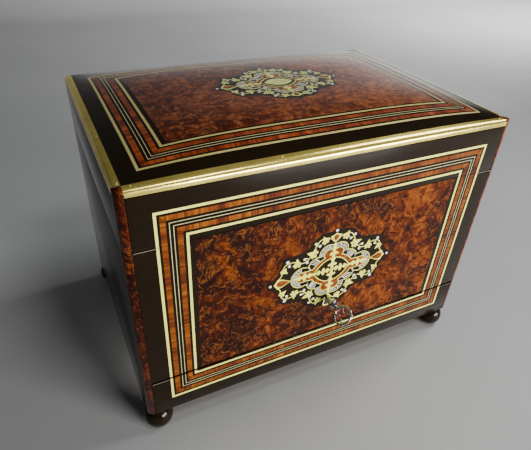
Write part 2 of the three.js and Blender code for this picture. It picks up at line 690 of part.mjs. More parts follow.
// The arbor through the barrel, with the ratchet wheel and the lever that winds it.
function makeWinding() {
  const bore = ARBOR_RADIUS + GAP;
  const ratchetX = [RATCHET_X, RATCHET_X + 3];
  add('winding_arbor', rodX(ARBOR_RADIUS, -140, -58, BARREL_Y, AXIS_Z), 'steel');
  const ratchet = new THREE.Shape();
  const step = (2 * Math.PI) / RATCHET_TEETH;
  for (let i = 0; i < RATCHET_TEETH; i += 1) {
    const root = i * step;
    const tip = root + 0.1 * step;
    ratchet[i === 0 ? 'moveTo' : 'lineTo'](10.5 * Math.cos(root), 10.5 * Math.sin(root));
    ratchet.lineTo(12.5 * Math.cos(tip), 12.5 * Math.sin(tip));
  }
  add('ratchet_wheel', alongX(withBore(ratchet, bore), ...ratchetX, BARREL_Y, AXIS_Z), 'steel');
  const lever = cut(
    join(
      rodX(7.5, -135, -129, BARREL_Y, AXIS_Z),
      box(-134, -130, BARREL_Y - 3, BARREL_Y + 3, AXIS_Z, AXIS_Z + LEVER_REACH),
    ),
    rodX(bore, -136, -128, BARREL_Y, AXIS_Z),
  );
  add('winding_lever', lever, 'brass');
  const grip = [[0, 0], [3, 0], [3.5, 3], [6, 8], [5.2, 13], [2.5, 15.5], [0, 16]];
  const knob = new THREE.LatheGeometry(grip.map(([r, h]) => new THREE.Vector2(r, h)), 16);
  knob.rotateX(Math.PI / 2).translate(-132, BARREL_Y, AXIS_Z + LEVER_REACH + GAP);
  add('lever_knob', toGeometry(toSolid(knob)), 'ebony');
  const outline = [[-3, -2], [2, -3], [8.4, 0.5], [7.5, 3], [0, 3]];
  const click = new THREE.Shape(outline.map(([y, z]) => new THREE.Vector2(y, z)));
  add('click', join(
    alongX(click, ...ratchetX, CLICK_Y, CLICK_Z),
    rodX(PIVOT_RADIUS, RATCHET_X, -113, CLICK_Y, CLICK_Z),
  ), 'steel');
}

// ---- Movement: governor and air brake ----
function makeGovernor() {
  const pinion = gearShape(GOVERNOR_TEETH, FINE_MODULE);
  const phase = Math.PI / GOVERNOR_TEETH;
  const pinionSolid = alongX(pinion, 86, 90.5).rotateX(phase).translate(0, GOVERNOR_Y, AXIS_Z);
  add('governor_arbor', join(rodX(PIVOT_RADIUS, 86, 117, GOVERNOR_Y, AXIS_Z), pinionSolid), 'steel');
  const shape = withBore(gearShape(WORM_WHEEL_TEETH, FINE_MODULE, 0.7, 1.1), PIVOT_BORE);
  const meshTurn = THREE.MathUtils.degToRad(10.5);
  const wheel = alongX(shape, WORM_X - 0.8, WORM_X + 0.8).rotateX(meshTurn);
  add('worm_wheel', wheel.translate(0, GOVERNOR_Y, AXIS_Z), 'brass');
  const lead = Math.PI * FINE_MODULE;
  const thread = threadSolid(WORM_RADIUS - 1, WORM_RADIUS + 0.55, lead, 3, 0.5, 0.25);
  const rod = (radius, z0, z1) => rodZ(radius, z0, z1, WORM_X, WORM_Y);
  add('worm_arbor', join(
    thread.translate(WORM_X, WORM_Y, AXIS_Z),
    rod(WORM_RADIUS - 0.8, AXIS_Z - 7, AXIS_Z + 7),
    rod(1.2, BED_Z + 2, AXIS_Z + 44),
  ), 'steel');
  const low = AXIS_Z + 25;
  const high = low + 14;
  const vane = box(WORM_X - 14, WORM_X + 14, WORM_Y - 0.5, WORM_Y + 0.5, low, high);
  add('fly', cut(join(rod(3, low, high), vane), rod(1.5, low - 1, high + 1)), 'brass');
}

// ---- Movement: start and stop lever ----
function makeStartLever() {
  const x = 106;
  const pivotY = -52;
  const knobY = -92;
  const armZ = BED_Z + 12;
  add('start_lever', join(
    rodZ(2.2, BED_Z + GAP, armZ + 6, x, pivotY),
    box(x - 3, x + 3, knobY - 2, pivotY + 6, armZ, armZ + 3),
    rodZ(4.5, armZ + 2, armZ + 10, x, knobY),
  ), 'brass');
}

makeCase();
makeFeet();
makeDustCover();
makeLid();
makeLidHinges();
makeFallFront();
makeLock();
makeKey();
makeBed();
makeCylinder();
makeComb();
makeBarrel();
makeWinding();
makeGovernor();
makeStartLever();

musicBox.position.y = (KEY_REACH - HINGE_REACH) / 2;

export default musicBox;
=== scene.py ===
"""Looks of the wind-up music box: marquetry, brass, lacquer and movement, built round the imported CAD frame.

Everything is in metres in the CAD frame. Outlines of inlay are given in millimetres on the face they lie on.
"""

import json
import math
import random

import bmesh
import bpy
from mathutils import Matrix, Vector
from mathutils.geometry import tessellate_polygon


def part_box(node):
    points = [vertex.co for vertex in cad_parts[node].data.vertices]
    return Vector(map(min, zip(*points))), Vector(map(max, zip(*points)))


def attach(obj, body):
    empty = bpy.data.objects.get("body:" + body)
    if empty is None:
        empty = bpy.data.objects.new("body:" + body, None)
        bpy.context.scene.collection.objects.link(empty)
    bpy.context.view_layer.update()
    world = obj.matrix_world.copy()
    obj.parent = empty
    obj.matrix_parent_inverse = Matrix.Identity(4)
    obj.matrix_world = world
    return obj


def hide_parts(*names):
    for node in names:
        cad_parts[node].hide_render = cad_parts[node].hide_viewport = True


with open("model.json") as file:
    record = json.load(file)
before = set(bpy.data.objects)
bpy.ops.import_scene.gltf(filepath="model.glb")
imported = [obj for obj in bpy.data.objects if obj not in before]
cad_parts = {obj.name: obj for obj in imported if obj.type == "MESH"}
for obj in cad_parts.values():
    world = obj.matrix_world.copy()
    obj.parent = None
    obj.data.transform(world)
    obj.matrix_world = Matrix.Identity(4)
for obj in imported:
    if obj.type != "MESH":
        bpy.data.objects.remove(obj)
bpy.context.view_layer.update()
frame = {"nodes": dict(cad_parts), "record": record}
MM = 0.001

# ---- Places taken from the frame ----
BODY_OF = {node: body for body, nodes in frame["record"]["behaviour"]["bodies"].items() for node in nodes}
JOINTS = {joint["name"]: joint for joint in frame["record"]["behaviour"]["joints"]}


def low(node):
    return Vector(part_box(node)[0])


def high(node):
    return Vector(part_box(node)[1])


def centre(node):
    return (low(node) + high(node)) / 2


FRONT_Y = low("front_sill").y
BACK_Y = high("case_back").y
CENTRE_Y = (FRONT_Y + BACK_Y) / 2
SIDE_X = high("side_right").x
HALF_DEPTH = (BACK_Y - FRONT_Y) / 2
BODY_Z = low("front_sill").z
LID_Z = low("lid_front").z
EDGING_Z = low("edging_front").z
FLAP_LOW_Z = low("fall_front_panel").z
FLAP_HIGH_Z = high("fall_front_panel").z
SILL_TOP_Z = high("front_sill").z
FLAT_X = high("fall_front_panel").x

# ---- Driving sizes of the looks. Lengths are in millimetres unless MM turns them to metres ----
DOME_RISE = 11.6 * MM
DOME_POWER = 3.44
RIM_Z = high("lid_top").z - DOME_RISE
BAND_OFFSETS = {
    "outer_string": 0,
    "outer_cross": 4.8,
    "outer_line": 9.0,
    "inner_line": 11.7,
    "inner_cross": 15.8,
    "inner_string": 20.7,
}
BAND_WIDTHS = {"string": 1.95, "cross": 3.9, "line": 0.42}
FRONT_FRAME = {"x": 142.3, "low": 14.5, "high": 198.0}
LID_FRAME = {"x": 145.4, "y": 94.8}
FRONT_FIELD_X = 116.5
LID_FIELD = {"x": 120.0, "y": 71.2}
MEDALLION_RISE = 107.5
INLAY_DEPTH = 0.25
LAYER = 0.03
SEAM_GAP = 0.4
CUT_PITCH = 7.0
EDGING = {"width": 6.2, "arris": 3.0, "proud": 0.3}
LEAF_STAND = 1.5
ARRIS_ANGLE = math.radians(28)
DISC_SIDES = 14
UV_SHIFT = 0.137


def dome(x, y):
    """Height of the lid's top at x and y, measured from the middle of the casket."""
    u = abs(x / SIDE_X) ** DOME_POWER
    v = abs(y / HALF_DEPTH) ** DOME_POWER
    return RIM_Z + DOME_RISE * (1 - u) * (1 - v)


def on_lid(u, v, rise):
    """A point on the lid, from millimetres across and back and a rise in millimetres over the surface."""
    return Vector((u * MM, CENTRE_Y + v * MM, dome(u * MM, v * MM) + rise * MM))


def on_front(u, v, rise):
    """A point on the front, from millimetres across and up from the body's underside."""
    return Vector((u * MM, FRONT_Y - rise * MM, BODY_Z + v * MM))


# ---- Node graphs ----
class Graph:
    """A material whose colour, roughness and bump come from a small node graph."""

    def __init__(self, name, space="Object"):
        self.material = bpy.data.materials.new(name)
        self.material.use_nodes = True
        self.tree = self.material.node_tree
        self.shader = self.tree.nodes["Principled BSDF"]
        self.coords = self.tree.nodes.new("ShaderNodeTexCoord").outputs[space]

    def fill(self, socket, value):
        """Links a socket to another one, or sets it to a constant."""
        if isinstance(value, bpy.types.NodeSocket):
            self.tree.links.new(value, socket)
        else:
            socket.default_value = value

    def node(self, kind, inputs=None, **settings):
        node = self.tree.nodes.new("ShaderNode" + kind)
        for key, value in settings.items():
            setattr(node, key, value)
        for key, value in (inputs or {}).items():
            self.fill(node.inputs[key], value)
        return node

    def stretch(self, scale, vector=None, turn=(0, 0, 0)):
        inputs = {"Vector": vector or self.coords, "Scale": scale, "Rotation": turn}
        return self.node("Mapping", inputs).outputs[0]

    def noise(self, scale, detail=4, roughness=0.5, distortion=0.0, vector=None, output="Fac"):
        inputs = {"Vector": vector or self.coords, "Scale": scale, "Detail": detail}
        inputs |= {"Roughness": roughness, "Distortion": distortion}
        return self.node("TexNoise", inputs).outputs[output]

    def warp(self, amount, scale):
        """The coordinates pushed about by a noise."""
        push = self.noise(scale, 3, output="Color")
        push = self.node("VectorMath", {0: push, 1: (0.5, 0.5, 0.5)}, operation="SUBTRACT").outputs[0]
        push = self.node("VectorMath", {0: push, "Scale": amount}, operation="SCALE").outputs[0]
        return self.node("VectorMath", {0: self.coords, 1: push}, operation="ADD").outputs[0]

    def ramp(self, factor, stops):
        """A colour ramp. A stop's colour may be one number, for a grey."""
        node = self.node("ValToRGB", {"Fac": factor})
        elements = node.color_ramp.elements
        while len(elements) < len(stops):
            elements.new(0.5)
        for element, (place, color) in zip(elements, stops):
            element.position = place
            element.color = (*color, 1) if isinstance(color, tuple) else (color, color, color, 1)
        return node.outputs["Color"]

    def mix(self, factor, first, second, blend="MIX"):
        node = self.node("Mix", data_type="RGBA", blend_type=blend)
        for number, value in ((0, factor), (6, first), (7, second)):
            self.fill(node.inputs[number], (*value, 1) if isinstance(value, tuple) else value)
        return node.outputs[2]

    def shade(self, strength, color, factor, stops):
        """A colour multiplied, to some strength, by a ramp."""
        return self.mix(strength, color, self.ramp(factor, stops), "MULTIPLY")

    def math(self, operation, first, second=0.0):
        return self.node("Math", {0: first, 1: second}, operation=operation).outputs[0]

    def crease(self, value):
        """Zero along the middle contour of a noise, and growing to both sides of it."""
        return self.math("ABSOLUTE", self.math("SUBTRACT", value, 0.5))

    def axis(self, letter):
        """One of the coordinates: "X", "Y" or "Z"."""
        return self.node("SeparateXYZ", {0: self.coords}).outputs[letter]

    def remap(self, value, low_value, high_value):
        inputs = {"Value": value, "To Min": low_value, "To Max": high_value}
        return self.node("MapRange", inputs).outputs[0]

    def bump(self, height, strength, distance):
        node = self.node("Bump", {"Height": height, "Strength": strength, "Distance": distance})
        self.tree.links.new(node.outputs[0], self.shader.inputs["Normal"])

    def finish(self, color, roughness, **constants):
        self.fill(self.shader.inputs["Base Color"], color)
        self.fill(self.shader.inputs["Roughness"], roughness)
        for key, value in constants.items():
            self.shader.inputs[key.replace("_", " ")].default_value = value
        return self.material


def lacquer(weight, roughness):
    """A clear coat over a base that has little gloss of its own."""
    return {"Coat_Weight": weight, "Coat_Roughness": roughness, "Coat_IOR": 1.4, "Specular_IOR_Level": 0.08}


LACQUER = lacquer(0.45, 0.08)
LID_LACQUER = lacquer(0.42, 0.3)
THIN_LACQUER = lacquer(0.25, 0.08)
FLAME_TURN = (0, math.radians(38), 0)
BURL_STOPS = [
    (0.40, (0.0125, 0.0020, 0.0006)),
    (0.47, (0.027, 0.0035, 0.0003)),
    (0.53, (0.058, 0.0075, 0.0003)),
    (0.59, (0.120, 0.0225, 0.0009)),
    (0.68, (0.22, 0.058, 0.004)),
]
BURL_THREAD = (0.34, 0.115, 0.022)
BURL_GROOVE_STOPS = [(0.0, (0.3, 0.22, 0.2)), (0.05, (1, 1, 1))]
BURL_EYE_STOPS = [(0.05, (0.22, 0.16, 0.22)), (0.22, (0.8, 0.78, 0.8)), (0.4, (1.1, 1.1, 1.1))]
EBONY_STOPS = [
    (0.35, (0.0090, 0.0053, 0.0024)),
    (0.62, (0.0112, 0.0067, 0.0030)),
    (0.8, (0.0132, 0.0079, 0.0035)),
]
TULIPWOOD_STOPS = [(0.36, (0.10, 0.018, 0.0015)), (0.5, (0.19, 0.046, 0.003)), (0.64, (0.29, 0.088, 0.006))]
STREAK_STOPS = [(0.38, (0.10, 0.06, 0.05)), (0.47, (0.62, 0.56, 0.5)), (0.6, (1.25, 1.2, 1.1))]
PEARL_STOPS = [(0.32, (0.62, 0.72, 0.62)), (0.5, (0.86, 0.86, 0.80)), (0.68, (0.86, 0.74, 0.74))]
SHELL_STOPS = [(0.34, (0.05, 0.009, 0.002)), (0.5, (0.20, 0.045, 0.005)), (0.68, (0.36, 0.10, 0.010))]


def tinted(color, tone):
    return tuple(part * strength for part, strength in zip(color, tone))


def burl_material(name, tone, contrast, lift, coat):
    """Amboyna burl: dark clouds and plum eyes, red-brown flames and tan strands under a French polish."""
    g = Graph(name)
    curled = g.warp(0.016, 48)
    drift = g.noise(24, 3, 0.5, 0.8)
    flames = g.noise(96, 2, 0.45, 1.1, g.stretch((1, 1, 0.42), g.stretch((1, 1, 1), curled, FLAME_TURN)))
    clumps = g.noise(120, 3, 0.5, 1.4, curled)
    curls = g.noise(300, 4, 0.72, 1.6, g.stretch((1, 1, 0.6), g.warp(0.008, 120)))
    shares = [(0.7 * contrast, drift), (0.65 * contrast, flames), (0.26, clumps), (0.14, curls)]
    depth = lift + 0.3 - 0.675 * contrast
    # The depth also grows with X, so the burl is darker towards the left and lighter towards the right.
    for share, source in [*shares, (0.34, g.axis("X"))]:
        depth = g.math("ADD", g.math("MULTIPLY", source, share), depth)
    body = g.ramp(depth, [(place, tinted(color, tone)) for place, color in BURL_STOPS])
    ridge = g.noise(150, 3, 0.6, 2.4, g.stretch((1, 1, 0.55), curled))
    thread = g.ramp(g.crease(ridge), [(0.0, 1), (0.05, 0)])
    shown = g.ramp(clumps, [(0.44, 0), (0.58, 0.5)])
    body = g.mix(g.math("MULTIPLY", thread, shown), body, tinted(BURL_THREAD, tone))
    grooves = g.noise(210, 3, 0.7, 2.0, g.stretch((1, 1, 0.5), g.warp(0.010, 80)))
    body = g.shade(0.38, body, g.crease(grooves), BURL_GROOVE_STOPS)
    eyes = g.node("TexVoronoi", {"Vector": curled, "Scale": 130}).outputs["Distance"]
    body = g.shade(0.6, body, eyes, BURL_EYE_STOPS)
    g.bump(curls, 0.05, 0.0002)
    return g.finish(body, g.remap(curls, 0.18, 0.32), **coat)


def ebony_material(name, coat, grain=(6, 120, 120)):
    """Ebonised pearwood: black, with the faintest brown grain under a high polish."""
    g = Graph(name)
    fibre = g.noise(6, 6, 0.6, 0.3, g.stretch(grain))
    g.bump(fibre, 0.05, 0.0002)
    return g.finish(g.ramp(fibre, EBONY_STOPS), g.remap(g.noise(60, 3), 0.11, 0.19), **coat)


def crossband_material(name, tint, coat):
    """Tulipwood laid across the band: leaves of different tone with fine streaks, read along the band's U."""
    g = Graph(name, "UV")
    leaves = g.noise(60, 2, 0.5, 0, g.stretch((1, 0.02, 1)))
    streaks = g.noise(430, 5, 0.8, 0.0, g.stretch((1, 0.06, 1)))
    base = g.mix(1.0, g.ramp(leaves, TULIPWOOD_STOPS), tint, "MULTIPLY")
    g.bump(streaks, 0.05, 0.0001)
    return g.finish(g.shade(0.9, base, streaks, STREAK_STOPS), 0.35, **coat)


def metal(name, color, tarnish, roughness, grain, metallic=1.0):
    """Polished metal with a drift of tarnish and fine rubbing marks. Thin inlay is given a low metallic
    share, so that it stays bright from every side."""
    g = Graph(name)
    rub = g.noise(grain, 3, 0.6, 0.0, g.stretch((1, 1, 3)))
    patch = g.ramp(g.noise(38, 6, 0.65, 0.4), [(0.325, 0), (0.675, 1)])
    body = g.shade(0.18, g.mix(patch, tarnish, color), rub, [(0.3, 0.75), (0.7, 1.15)])
    g.bump(rub, 0.05, 0.0001)
    return g.finish(body, g.remap(rub, *roughness), Metallic=metallic)


def pearl_material(name):
    """Mother-of-pearl: white shell with pale green and pink clouds."""
    g = Graph(name)
    cloud = g.noise(420, 4, 0.6, 1.2)
    g.bump(cloud, 0.1, 0.0001)
    gloss = {"Specular_IOR_Level": 0.7, "Coat_Weight": 1.0, "Coat_Roughness": 0.05}
    return g.finish(g.ramp(cloud, PEARL_STOPS), 0.22, **gloss)


def shell_material(name):
    """Red tortoiseshell: translucent orange with darker clouds."""
    g = Graph(name)
    return g.finish(g.ramp(g.noise(300, 5, 0.6, 1.0), SHELL_STOPS), 0.25, **LACQUER)


def plain_wood(name, dark, light, roughness=0.55, coat=0.0):
    """Plain wood: growth bands along X and long fibres."""
    g = Graph(name)
    rings = g.noise(7, 3, 0.5, 0.8, g.stretch((5, 90, 90)))
    fibre = g.noise(60, 5, 0.7, 0.2, g.stretch((2, 40, 40)))
    color = g.ramp(rings, [(0.33, dark), (0.66, light)])
    color = g.shade(0.35, color, fibre, [(0.35, (0.55, 0.5, 0.46)), (0.65, (1.1, 1.1, 1.1))])
    g.bump(fibre, 0.15, 0.0003)
    return g.finish(color, roughness, Coat_Weight=coat, Coat_Roughness=0.12)


def iron_material(name):
    """Japanned cast iron with a fine sand-cast skin."""
    g = Graph(name)
    sand = g.noise(900, 3, 0.6)
    color = g.ramp(g.noise(40, 4), [(0.35, (0.012, 0.013, 0.015)), (0.7, (0.035, 0.036, 0.04))])
    g.bump(sand, 0.25, 0.0003)
    return g.finish(color, g.remap(sand, 0.35, 0.6), Metallic=0.3)


def glass_material(name):
    """Old window glass: clear, with a slight ripple."""
    g = Graph(name)
    g.bump(g.noise(30, 2), 0.03, 0.001)
    return g.finish((0.93, 0.97, 0.95, 1), 0.02, Transmission_Weight=1.0, Alpha=0.4)


def floor_material(name):
    """A pale seamless floor with the faintest mottle. The backdrop is painted darker with height: painted
    shade where the light falls off up the wall.
    """
    g = Graph(name)
    pale = g.ramp(g.noise(3, 4, 0.6), [(0.3, (0.33, 0.335, 0.34)), (0.7, (0.37, 0.375, 0.38))])
    # Painted shade: the backdrop grows darker with height.
    return g.finish(g.shade(1.0, pale, g.axis("Z"), [(0.40, 1), (0.65, 0.55), (1.0, 0.16)]), 0.6)


BURL = burl_material("burl", (1, 1, 1), 0.56, -0.004, THIN_LACQUER)
# The lid's burl is greyed, blued, lightened and flattened against the front's: painted sheen, the backdrop
# reflected in the lid's polish.
BURL_LID_PAINTED_SHEEN = burl_material("burl_lid_painted_sheen", (1.5, 1.75, 4.0), 0.22, 0.045, LID_LACQUER)
BURL_POST = burl_material("burl_post", (1.25, 0.9, 0.8), 0.3, -0.005, LACQUER)
EBONY = ebony_material("ebony", THIN_LACQUER)
EBONY_SIDE = ebony_material("ebony_side", THIN_LACQUER, (120, 6, 120))
EBONY_LID = ebony_material("ebony_lid", LID_LACQUER)
CROSSBAND = crossband_material("crossband", (1, 1, 1), LACQUER)
# The lid's crossband is blued against the front's: painted sheen of the lid's polish.
CROSSBAND_LID_PAINTED_SHEEN = crossband_material("crossband_lid_painted_sheen", (1.25, 0.9, 3.0), LID_LACQUER)
STRING = metal("brass_string", (1.0, 0.97, 0.24), (1.0, 0.93, 0.18), (0.3, 0.45), 500, 0.25)
# The lid's strings are darker and greyer than the front's: painted shade and sheen of the lid's top.
LID_STRING_PAINTED_SHEEN = metal("brass_string_lid_painted_sheen", (0.62, 0.54, 0.20), (0.50, 0.43, 0.14), (0.35, 0.5), 500, 0.3)
# Pale wood for the seam lines: partly worn ebonising, partly a painted highlight where light catches the
# seams.
SEAM_WEAR_AND_HIGHLIGHT = plain_wood("seam_wear_and_highlight", (0.10, 0.08, 0.06), (0.34, 0.29, 0.24))
FINE_LINE = metal("fine_line", (0.76, 0.70, 0.36), (0.60, 0.54, 0.26), (0.35, 0.5), 500, 0.2)
LEAF_BRASS = metal("leaf_brass", (0.97, 0.98, 0.16), (0.88, 0.84, 0.12), (0.3, 0.5), 800, 0.2)
# The lid's leaf brass is paler and greyer than the front's: painted sheen of the lid's top.
LID_LEAF_PAINTED_SHEEN = metal("leaf_brass_lid_painted_sheen", (0.86, 0.90, 0.30), (0.62, 0.62, 0.20), (0.35, 0.5), 800, 0.3)
EDGING_BRASS = metal("edging_brass", (0.97, 0.79, 0.19), (0.66, 0.50, 0.11), (0.13, 0.24), 90, 0.8)
BRASS = metal("movement_brass", (0.80, 0.60, 0.27), (0.62, 0.44, 0.18), (0.18, 0.34), 300)
STEEL = metal("steel", (0.62, 0.62, 0.62), (0.42, 0.42, 0.42), (0.16, 0.32), 600)
KEY_STEEL = metal("key_steel", (0.50, 0.52, 0.60), (0.17, 0.175, 0.20), (0.18, 0.32), 260)
SPRING_STEEL = metal("spring_steel", (0.20, 0.26, 0.38), (0.12, 0.14, 0.2), (0.2, 0.35), 400)
PEARL = pearl_material("pearl")
SHELL = shell_material("red_shell")
PINE = plain_wood("pine", (0.30, 0.17, 0.07), (0.55, 0.36, 0.18))
WALNUT = plain_wood("walnut", (0.045, 0.018, 0.008), (0.16, 0.07, 0.028), 0.4, 0.4)
IRON = iron_material("japanned_iron")
GLASS = glass_material("glass")
FLOOR = floor_material("pale_floor")


# ---- Mesh helpers ----
def linked(name, data):
    """A new object in the scene."""
    obj = bpy.data.objects.new(name, data)
    bpy.context.scene.collection.objects.link(obj)
    return obj


def piece(name, mesh, material, body, replaces=()):
    """Links a mesh as a piece of the object that rides on a body."""
    obj = linked(name, mesh)
    mesh.materials.clear()
    mesh.materials.append(material)
    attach(obj, body)
    if replaces:
        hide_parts(*replaces)


def smooth(mesh, angle):
    """Smooth shading, with sharp edges where faces meet at more than an angle."""
    mesh.shade_smooth()
    mesh.set_sharp_from_angle(angle=math.radians(angle))


def mesh_of(bm, name):
    """Turns a bmesh into a mesh."""
    mesh = bpy.data.meshes.new(name)
    bm.to_mesh(mesh)
    bm.free()
    return mesh


def mesh_from(name, verts, faces, angle=None):
    """A mesh of vertices and faces, smooth up to an angle where one is given."""
    mesh = bpy.data.meshes.new(name)
    mesh.from_pydata([tuple(v) for v in verts], [], faces)
    bm = bmesh.new()
    bm.from_mesh(mesh)
    bmesh.ops.recalc_face_normals(bm, faces=bm.faces)
    bm.to_mesh(mesh)
    bm.free()
    if angle:
        smooth(mesh, angle)
    return mesh


def softened(node, width, material):
    """Replaces a CAD node by its own shape with rounded arrises."""
    bm = bmesh.new()
    bm.from_mesh(frame["nodes"][node].data)
    bmesh.ops.remove_doubles(bm, verts=bm.verts, dist=1e-6)
    bmesh.ops.dissolve_limit(bm, angle_limit=math.radians(0.5), verts=bm.verts, edges=bm.edges)
    arrises = [e for e in bm.edges if e.is_manifold and e.calc_face_angle() > ARRIS_ANGLE]
    bevel = {"segments": 2, "profile": 0.5, "affect": "EDGES", "clamp_overlap": True}
    bmesh.ops.bevel(bm, geom=arrises, offset=width * MM, **bevel)
    mesh = mesh_of(bm, node + "_soft")
    smooth(mesh, 35)
    piece(node + "_soft", mesh, material, BODY_OF[node], [node])


def keep(node, material):
    """Keeps a CAD node as it is, with a better material."""
    for slot in frame["nodes"][node].material_slots:
        slot.material = material


def tube_faces(rings, sides):
    """The faces of a closed tube whose vertices come ring by ring, with a cap at each end."""
    faces = []
    for ring in range(rings - 1):
        for i in range(sides):
            j = (i + 1) % sides
            faces.append((ring * sides + i, ring * sides + j, (ring + 1) * sides + j, (ring + 1) * sides + i))
    faces.append(tuple(range(sides - 1, -1, -1)))
    faces.append(tuple((rings - 1) * sides + i for i in range(sides)))
    return faces


def lathe(profile, origin, axis=(0, 0, 1), sides=48):
    """Vertices and faces of a solid of revolution from (radius, height) pairs in millimetres."""
    turn = Vector((0, 0, 1)).rotation_difference(Vector(axis)).to_matrix()
    verts = []
    for radius, height in profile:
        for i in range(sides):
            a = 2 * math.pi * i / sides
            point = Vector((radius * math.cos(a), radius * math.sin(a), height))
            verts.append(Vector(origin) + turn @ point * MM)
    return verts, tube_faces(len(profile), sides)


def screw(place, axis, radius, turn):
    """A slotted screw head that stands on a point."""
    base = [(radius, -0.1 * radius), (radius, 0.2 * radius)]
    parts = [lathe(base, place, axis, 20)]
    head_turn = Vector((0, 0, 1)).rotation_difference(Vector(axis)).to_matrix()
    head_turn = head_turn @ Matrix.Rotation(math.radians(turn), 3, "Z")
    slot = 0.16
    start = math.asin(slot)
    steps = 9
    for side in (-1, 1):
        verts = []
        for reach, height in ((1.0, 0.2), (1.0, 0.38), (0.86, 0.5)):
            for i in range(steps + 1):
                a = start + (math.pi - 2 * start) * i / steps
                spot = Vector((reach * math.cos(a), side * max(reach * math.sin(a), slot), height))
                verts.append(Vector(place) + head_turn @ spot * radius * MM)
        parts.append((verts, tube_faces(3, steps + 1)))
    return gather(parts)


def assembled(name, parts, material, body, angle=40, replaces=()):
    """One piece made of several (verts, faces) pairs."""
    piece(name, mesh_from(name, *gather(parts), angle), material, body, replaces)


def sweep(points, radii, sides):
    """Vertices and faces of a round rod of changing radius along points, closed at its ends."""
    verts = []
    side = None
    for i, point in enumerate(points):
        ahead = points[min(i + 1, len(points) - 1)] - points[max(i - 1, 0)]
        ahead.normalize()
        if side is None:
            side = ahead.orthogonal().normalized()
        side = (side - ahead * side.dot(ahead)).normalized()
        across = ahead.cross(side)
        for k in range(sides):
            a = 2 * math.pi * k / sides
            verts.append(point + (side * math.cos(a) + across * math.sin(a)) * radii[i])
    return verts, tube_faces(len(points), sides)


def gather(parts):
    """Joins several (verts, faces) pairs into one."""
    verts = []
    faces = []
    for part_verts, part_faces in parts:
        start = len(verts)
        verts.extend(part_verts)
        faces.extend(tuple(start + i for i in face) for face in part_faces)
    return verts, faces


# ---- Plane curves, in millimetres ----
def catmull_rom(p, q, r, w, t):
    """The value at a share t of the way from q to r, on a smooth curve through p, q, r and w."""
    square = (2 * p - 5 * q + 4 * r - w) * t * t
    cube = (3 * q - p - 3 * r + w) * t ** 3
    return 0.5 * (2 * q + (r - p) * t + square + cube)


def smooth_path(points, closed=False, steps=6):
    """Points of a Catmull-Rom curve through the given ones."""
    count = len(points)
    path = []
    for i in range(count if closed else count - 1):
        spots = [i + k for k in (-1, 0, 1, 2)]
        near = [points[j % count if closed else min(max(j, 0), count - 1)] for j in spots]
        path += [tuple(catmull_rom(*values, s / steps) for values in zip(*near)) for s in range(steps)]
    return path if closed else [*path, points[-1]]


def with_normals(path, closed):
    """Each point of a path, and the unit vector to its left."""
    count = len(path)
    for i, (x, y) in enumerate(path):
        ax, ay = path[i - 1 if closed else max(i - 1, 0)]
        bx, by = path[(i + 1) % count if closed else min(i + 1, count - 1)]
        length = math.hypot(bx - ax, by - ay) or 1
        yield x, y, (ay - by) / length, (bx - ax) / length


def offset(path, distance, closed):
    """A path moved to its left. A closed one loses the loops that tight bends would make."""
    moved = [(x + nx * distance, y + ny * distance) for x, y, nx, ny in with_normals(path, closed)]
    if not closed:
        return moved
    near = abs(distance) * 0.98
    return [point for point in moved if min(math.dist(point, other) for other in path) > near]


def stroke(path, width, closed=False):
    """The outline of a line drawn along a path. A closed path gives an outer and an inner loop."""
    left, right = (offset(path, side * width / 2, closed) for side in (1, -1))
    if closed:
        return sorted((left, right), key=area, reverse=True)
    return [left + right[::-1]]


def area(loop):
    """The area inside a loop."""
    return abs(sum(a[0] * b[1] - a[1] * b[0] for a, b in zip(loop, loop[1:] + loop[:1]))) / 2


def disc(x, y, radius):
    angles = [2 * math.pi * i / DISC_SIDES for i in range(DISC_SIDES)]
    return [[(x + radius * math.cos(a), y + radius * math.sin(a)) for a in angles]]


def quad(x0, y0, x1, y1):
    return [[(x0, y0), (x1, y0), (x1, y1), (x0, y1)]]


def placed(loops, x, y, turn=0.0, size=1.0):
    """Loops made larger by a size, turned by degrees about their origin, and moved."""
    c, s = math.cos(math.radians(turn)), math.sin(math.radians(turn))
    return [[(x + size * (c * u - s * v), y + size * (s * u + c * v)) for u, v in loop] for loop in loops]


def four_ways(shapes):
    """The shapes of one quarter and their mirror images about both axes."""
    signs = [(1, 1), (1, -1), (-1, 1), (-1, -1)]
    return [[[(sx * u, sy * v) for u, v in loop] for loop in loops] for sx, sy in signs for loops in shapes]


def clipped(loops, low_v, high_v):
    """A convex outline cut to the strip between two heights."""
    loop = loops[0]
    for sign, limit in ((1, low_v), (-1, high_v)):
        kept = []
        for i, (u, v) in enumerate(loop):
            last_u, last_v = loop[i - 1]
            inside = sign * (v - limit) >= 0
            if inside != (sign * (last_v - limit) >= 0):
                t = (limit - last_v) / (v - last_v)
                kept.append((last_u + t * (u - last_u), last_v + t * (v - last_v)))
            if inside:
                kept.append((u, v))
        loop = kept
    return [loop] if len(loop) > 2 else None


